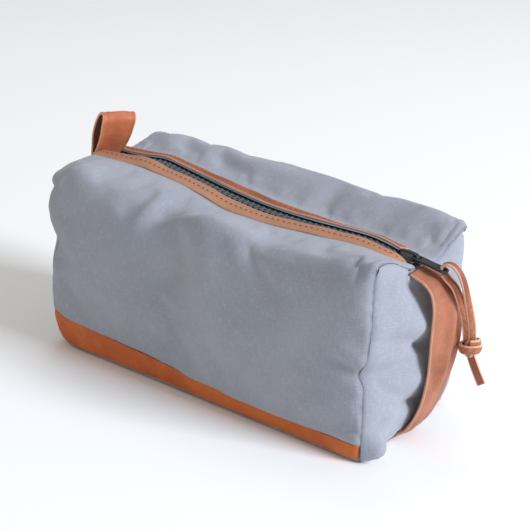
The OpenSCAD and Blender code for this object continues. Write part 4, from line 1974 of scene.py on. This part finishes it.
@dataclass
class HangLoop:
    """The folded leather loop that stands at one end of the zip."""

    finishes: Finishes
    foot: np.ndarray
    width: float = 22.0
    thickness: float = 1.9
    points: int = 96

    def build(self) -> bpy.types.Object:
        """The loop, its top twisted a little towards the front."""
        side_view = np.array(
            [
                (-0.6, -2.0), (-2.6, 4.0), (-6.2, 12.0), (-7.0, 20.0), (-4.0, 26.4),
                (2.6, 29.2), (7.6, 28.6), (9.6, 25.0), (8.6, 16.5), (5.6, 8.0), (2.9, 1.0),
                (2.3, -2.0),
            ]
        )
        line = even(curve(side_view, 8), self.points)
        height = np.clip(line[:, 1] / 29.0, 0, 1)
        twist = np.radians(23 + 13 * ease(height))
        centre = np.stack(
            [line[:, 0] * np.cos(twist), -line[:, 0] * np.sin(twist), line[:, 1]],
            axis=1,
        )
        across = np.stack([np.sin(twist), np.cos(twist), 0 * height], axis=1)
        centre[:, 0] += 9.5 * height - 3.4
        centre = centre * MM + self.foot + np.array([-3.2, 0.6, -3.6]) * MM
        steps = 24
        s = np.linspace(-1, 1, steps + 1)
        pressed = -0.3 * bell(np.abs(s) - 0.82, 0.1)
        crown = np.tile(0.25 * (1 - s**2) + 0.1 * np.sin(s * 5) + pressed, (self.points, 1)) * MM
        width = (self.width - 1.2 * (1 - height)) * MM
        piece = ribbon(
            "hang_loop_leather", centre, across, width, self.thickness * MM, crown, steps
        )
        dress(piece, self.finishes.loop)
        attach(piece, "loop")
        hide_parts("hang_loop")
        return piece


@dataclass
class CarryStrap:
    """The leather strap down the end panel, sewn in at top and foot."""

    finishes: Finishes
    start: float
    reach: float
    top: float
    width: float = 25.0
    thickness: float = 1.9
    points: int = 120

    def side_view(self) -> np.ndarray:
        """Centre line as (distance from the panel, height), from the top."""
        r, t = self.reach, self.top
        return np.array(
            [
                (-1.0, t + 0.6),
                (3.0, t - 0.6), (0.52 * r, t - 3.0), (0.80 * r, t - 8.0), (0.96 * r, t - 17.0),
                (0.99 * r, t - 29.0), (0.96 * r, t * 0.56), (0.88 * r, t * 0.40),
                (0.72 * r, t * 0.24), (0.38 * r, t * 0.09), (0.02 * r, 3.0),
            ]
        )

    def build(self) -> bpy.types.Object:
        """The strap, bowed out, creased along its length and a little curled."""
        line = even(curve(self.side_view(), 10), self.points)
        down = np.linspace(0, 1, len(line))
        sway = -1.0 + 1.6 * np.sin(down * 3.2)
        centre = np.stack([self.start + line[:, 0], sway, line[:, 1]], axis=1)
        yaw = np.radians(13 * bell(down - 0.38, 0.26) - 3)
        across = np.stack([np.sin(yaw), np.cos(yaw), 0 * yaw], axis=1)
        width = self.width - 1.6 * ease((down - 0.7) / 0.25) - 1.0 * ease((0.1 - down) / 0.1)
        steps = 20
        s = np.linspace(-1, 1, steps + 1)[None, :]
        d = down[:, None]
        crease = -2.0 * bell(s - 0.18 - 0.1 * np.sin(d * 5), 0.26) * bell(d - 0.38, 0.34)
        curl = 1.3 * np.clip(-s - 0.45, 0, 1) ** 1.4 * ease((d - 0.03) / 0.2) * 1.6
        waves = 0.45 * np.sin(s * 7 + d * 9) * bell(d - 0.5, 0.4)
        crown = (crease + curl + waves) * MM * -1
        thick = self.thickness * MM
        piece = ribbon("carry_strap_leather", centre * MM, across, width * MM, thick, crown, steps)
        dress(piece, self.finishes.strap)
        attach(piece, "bag")
        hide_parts("carry_strap")
        return piece


@dataclass
class Studio:
    """Camera, floor and soft lights."""

    finishes: Finishes
    azimuth: float = 36.0
    elevation: float = 21.71
    distance: float = 0.8121
    roll: float = 3.05
    lens: float = 89.5
    target: tuple[float, float, float] = (0.01195, 0.0, 0.07633)
    floor_level: float = -0.0004

    def camera(self) -> bpy.types.Object:
        """The camera, rolled a little as a hand-held one is."""
        a, e, r = (math.radians(v) for v in (self.azimuth, self.elevation, self.roll))
        back = Vector((math.sin(a) * math.cos(e), -math.cos(a) * math.cos(e), math.sin(e)))
        right = (-back).cross(Vector((0, 0, 1))).normalized()
        up = right.cross(-back)
        x = right * math.cos(r) + up * math.sin(r)
        y = up * math.cos(r) - right * math.sin(r)
        turn = Matrix((x, y, back)).transposed().to_4x4()
        data = bpy.data.cameras.new("camera")
        data.lens, data.sensor_width = self.lens, 36.0
        eye = bpy.data.objects.new("camera", data)
        eye.matrix_world = (Matrix.Translation(Vector(self.target) + back * self.distance) @ turn)
        bpy.context.scene.collection.objects.link(eye)
        bpy.context.scene.camera = eye
        return eye

    def light(
        self, name: str, place: tuple, size: float, power: float, colour: Colour
    ) -> bpy.types.Object:
        """A square soft light that faces the bag.

        Args:
            name: The light's name.
            place: Where it stands, in metres.
            size: Length of its side.
            power: Its power in watts.
            colour: Its colour.

        Returns:
            The light.
        """
        data = bpy.data.lights.new(name, "AREA")
        data.size, data.energy, data.color = size, power, colour
        lamp = bpy.data.objects.new(name, data)
        lamp.location = place
        aim = Vector((0.0, 0.0, 0.06)) - Vector(place)
        lamp.rotation_mode = "QUATERNION"
        lamp.rotation_quaternion = aim.to_track_quat("-Z", "Y")
        bpy.context.scene.collection.objects.link(lamp)
        return lamp

    def build(self) -> None:
        """Sets up the floor, the air and the lights."""
        floor = new_object(
            "floor",
            np.array([(x, y, self.floor_level) for x, y in ((-6, -6), (6, -6), (6, 6), (-6, 6))]),
            [[0, 1, 2, 3]],
            smooth=False,
        )
        dress(floor, self.finishes.floor)
        world = bpy.data.worlds.new("studio_air")
        bpy.context.scene.world = world
        world.use_nodes = True
        air = world.node_tree.nodes["Background"]
        air.inputs["Color"].default_value = (1.0, 0.98, 0.955, 1.0)
        air.inputs["Strength"].default_value = 0.49
        self.light("key", (2.8, 0.4, 1.7), 1.2, 116.0, (0.90, 0.965, 1.09))
        self.light("sky", (-0.9, 1.0, 2.7), 1.2, 9.0, (1.0, 1.0, 1.0))
        bpy.context.scene.view_settings.view_transform = "Standard"


def main() -> None:
    """Builds every piece in order and reports each one."""
    logging.basicConfig(level=logging.INFO, format="%(message)s")
    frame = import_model()
    finishes = Finishes()
    studio = Studio(finishes)
    studio.camera()
    _, base_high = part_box("leather_base")
    flap_low, flap_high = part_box("front_top_canvas")
    slope = (flap_high.z - flap_low.z - CANVAS_THICK * MM) / (flap_high.x - flap_low.x)
    joints = {j["name"]: j for j in frame["joints"]}
    hinge = joints["front_mouth"]["pos_m"]
    form = BagForm(base_high.x, float(hinge[2]), slope)
    hole = np.array(joints["lace_swing"]["pos_m"], float)
    strap_low, strap_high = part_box("carry_strap")
    reach = (strap_high.x - strap_low.x) / MM - STRAP_THICK
    start = strap_low.x / MM + STRAP_THICK / 2
    strap = CarryStrap(finishes, start, reach, strap_high.z / MM - STRAP_TUCK)
    pieces = Lace(finishes, hole).build()
    pieces += CanvasPanels(form, finishes, strap.side_view()).build()
    pieces.append(LeatherBase(form, finishes).build())
    pieces += ZipTrims(form, finishes).build()
    pieces += ZipChain(form, finishes).build()
    pieces += Slider(form, finishes, frame["nodes"]).build()
    foot = np.array(joints["loop_fold"]["pos_m"], float)
    pieces.append(HangLoop(finishes, foot).build())
    pieces.append(strap.build())
    studio.build()
    for piece in pieces:
        LOG.info("%s: %d vertices", piece.name, len(piece.data.vertices))


if __name__ == "__main__":
    main()
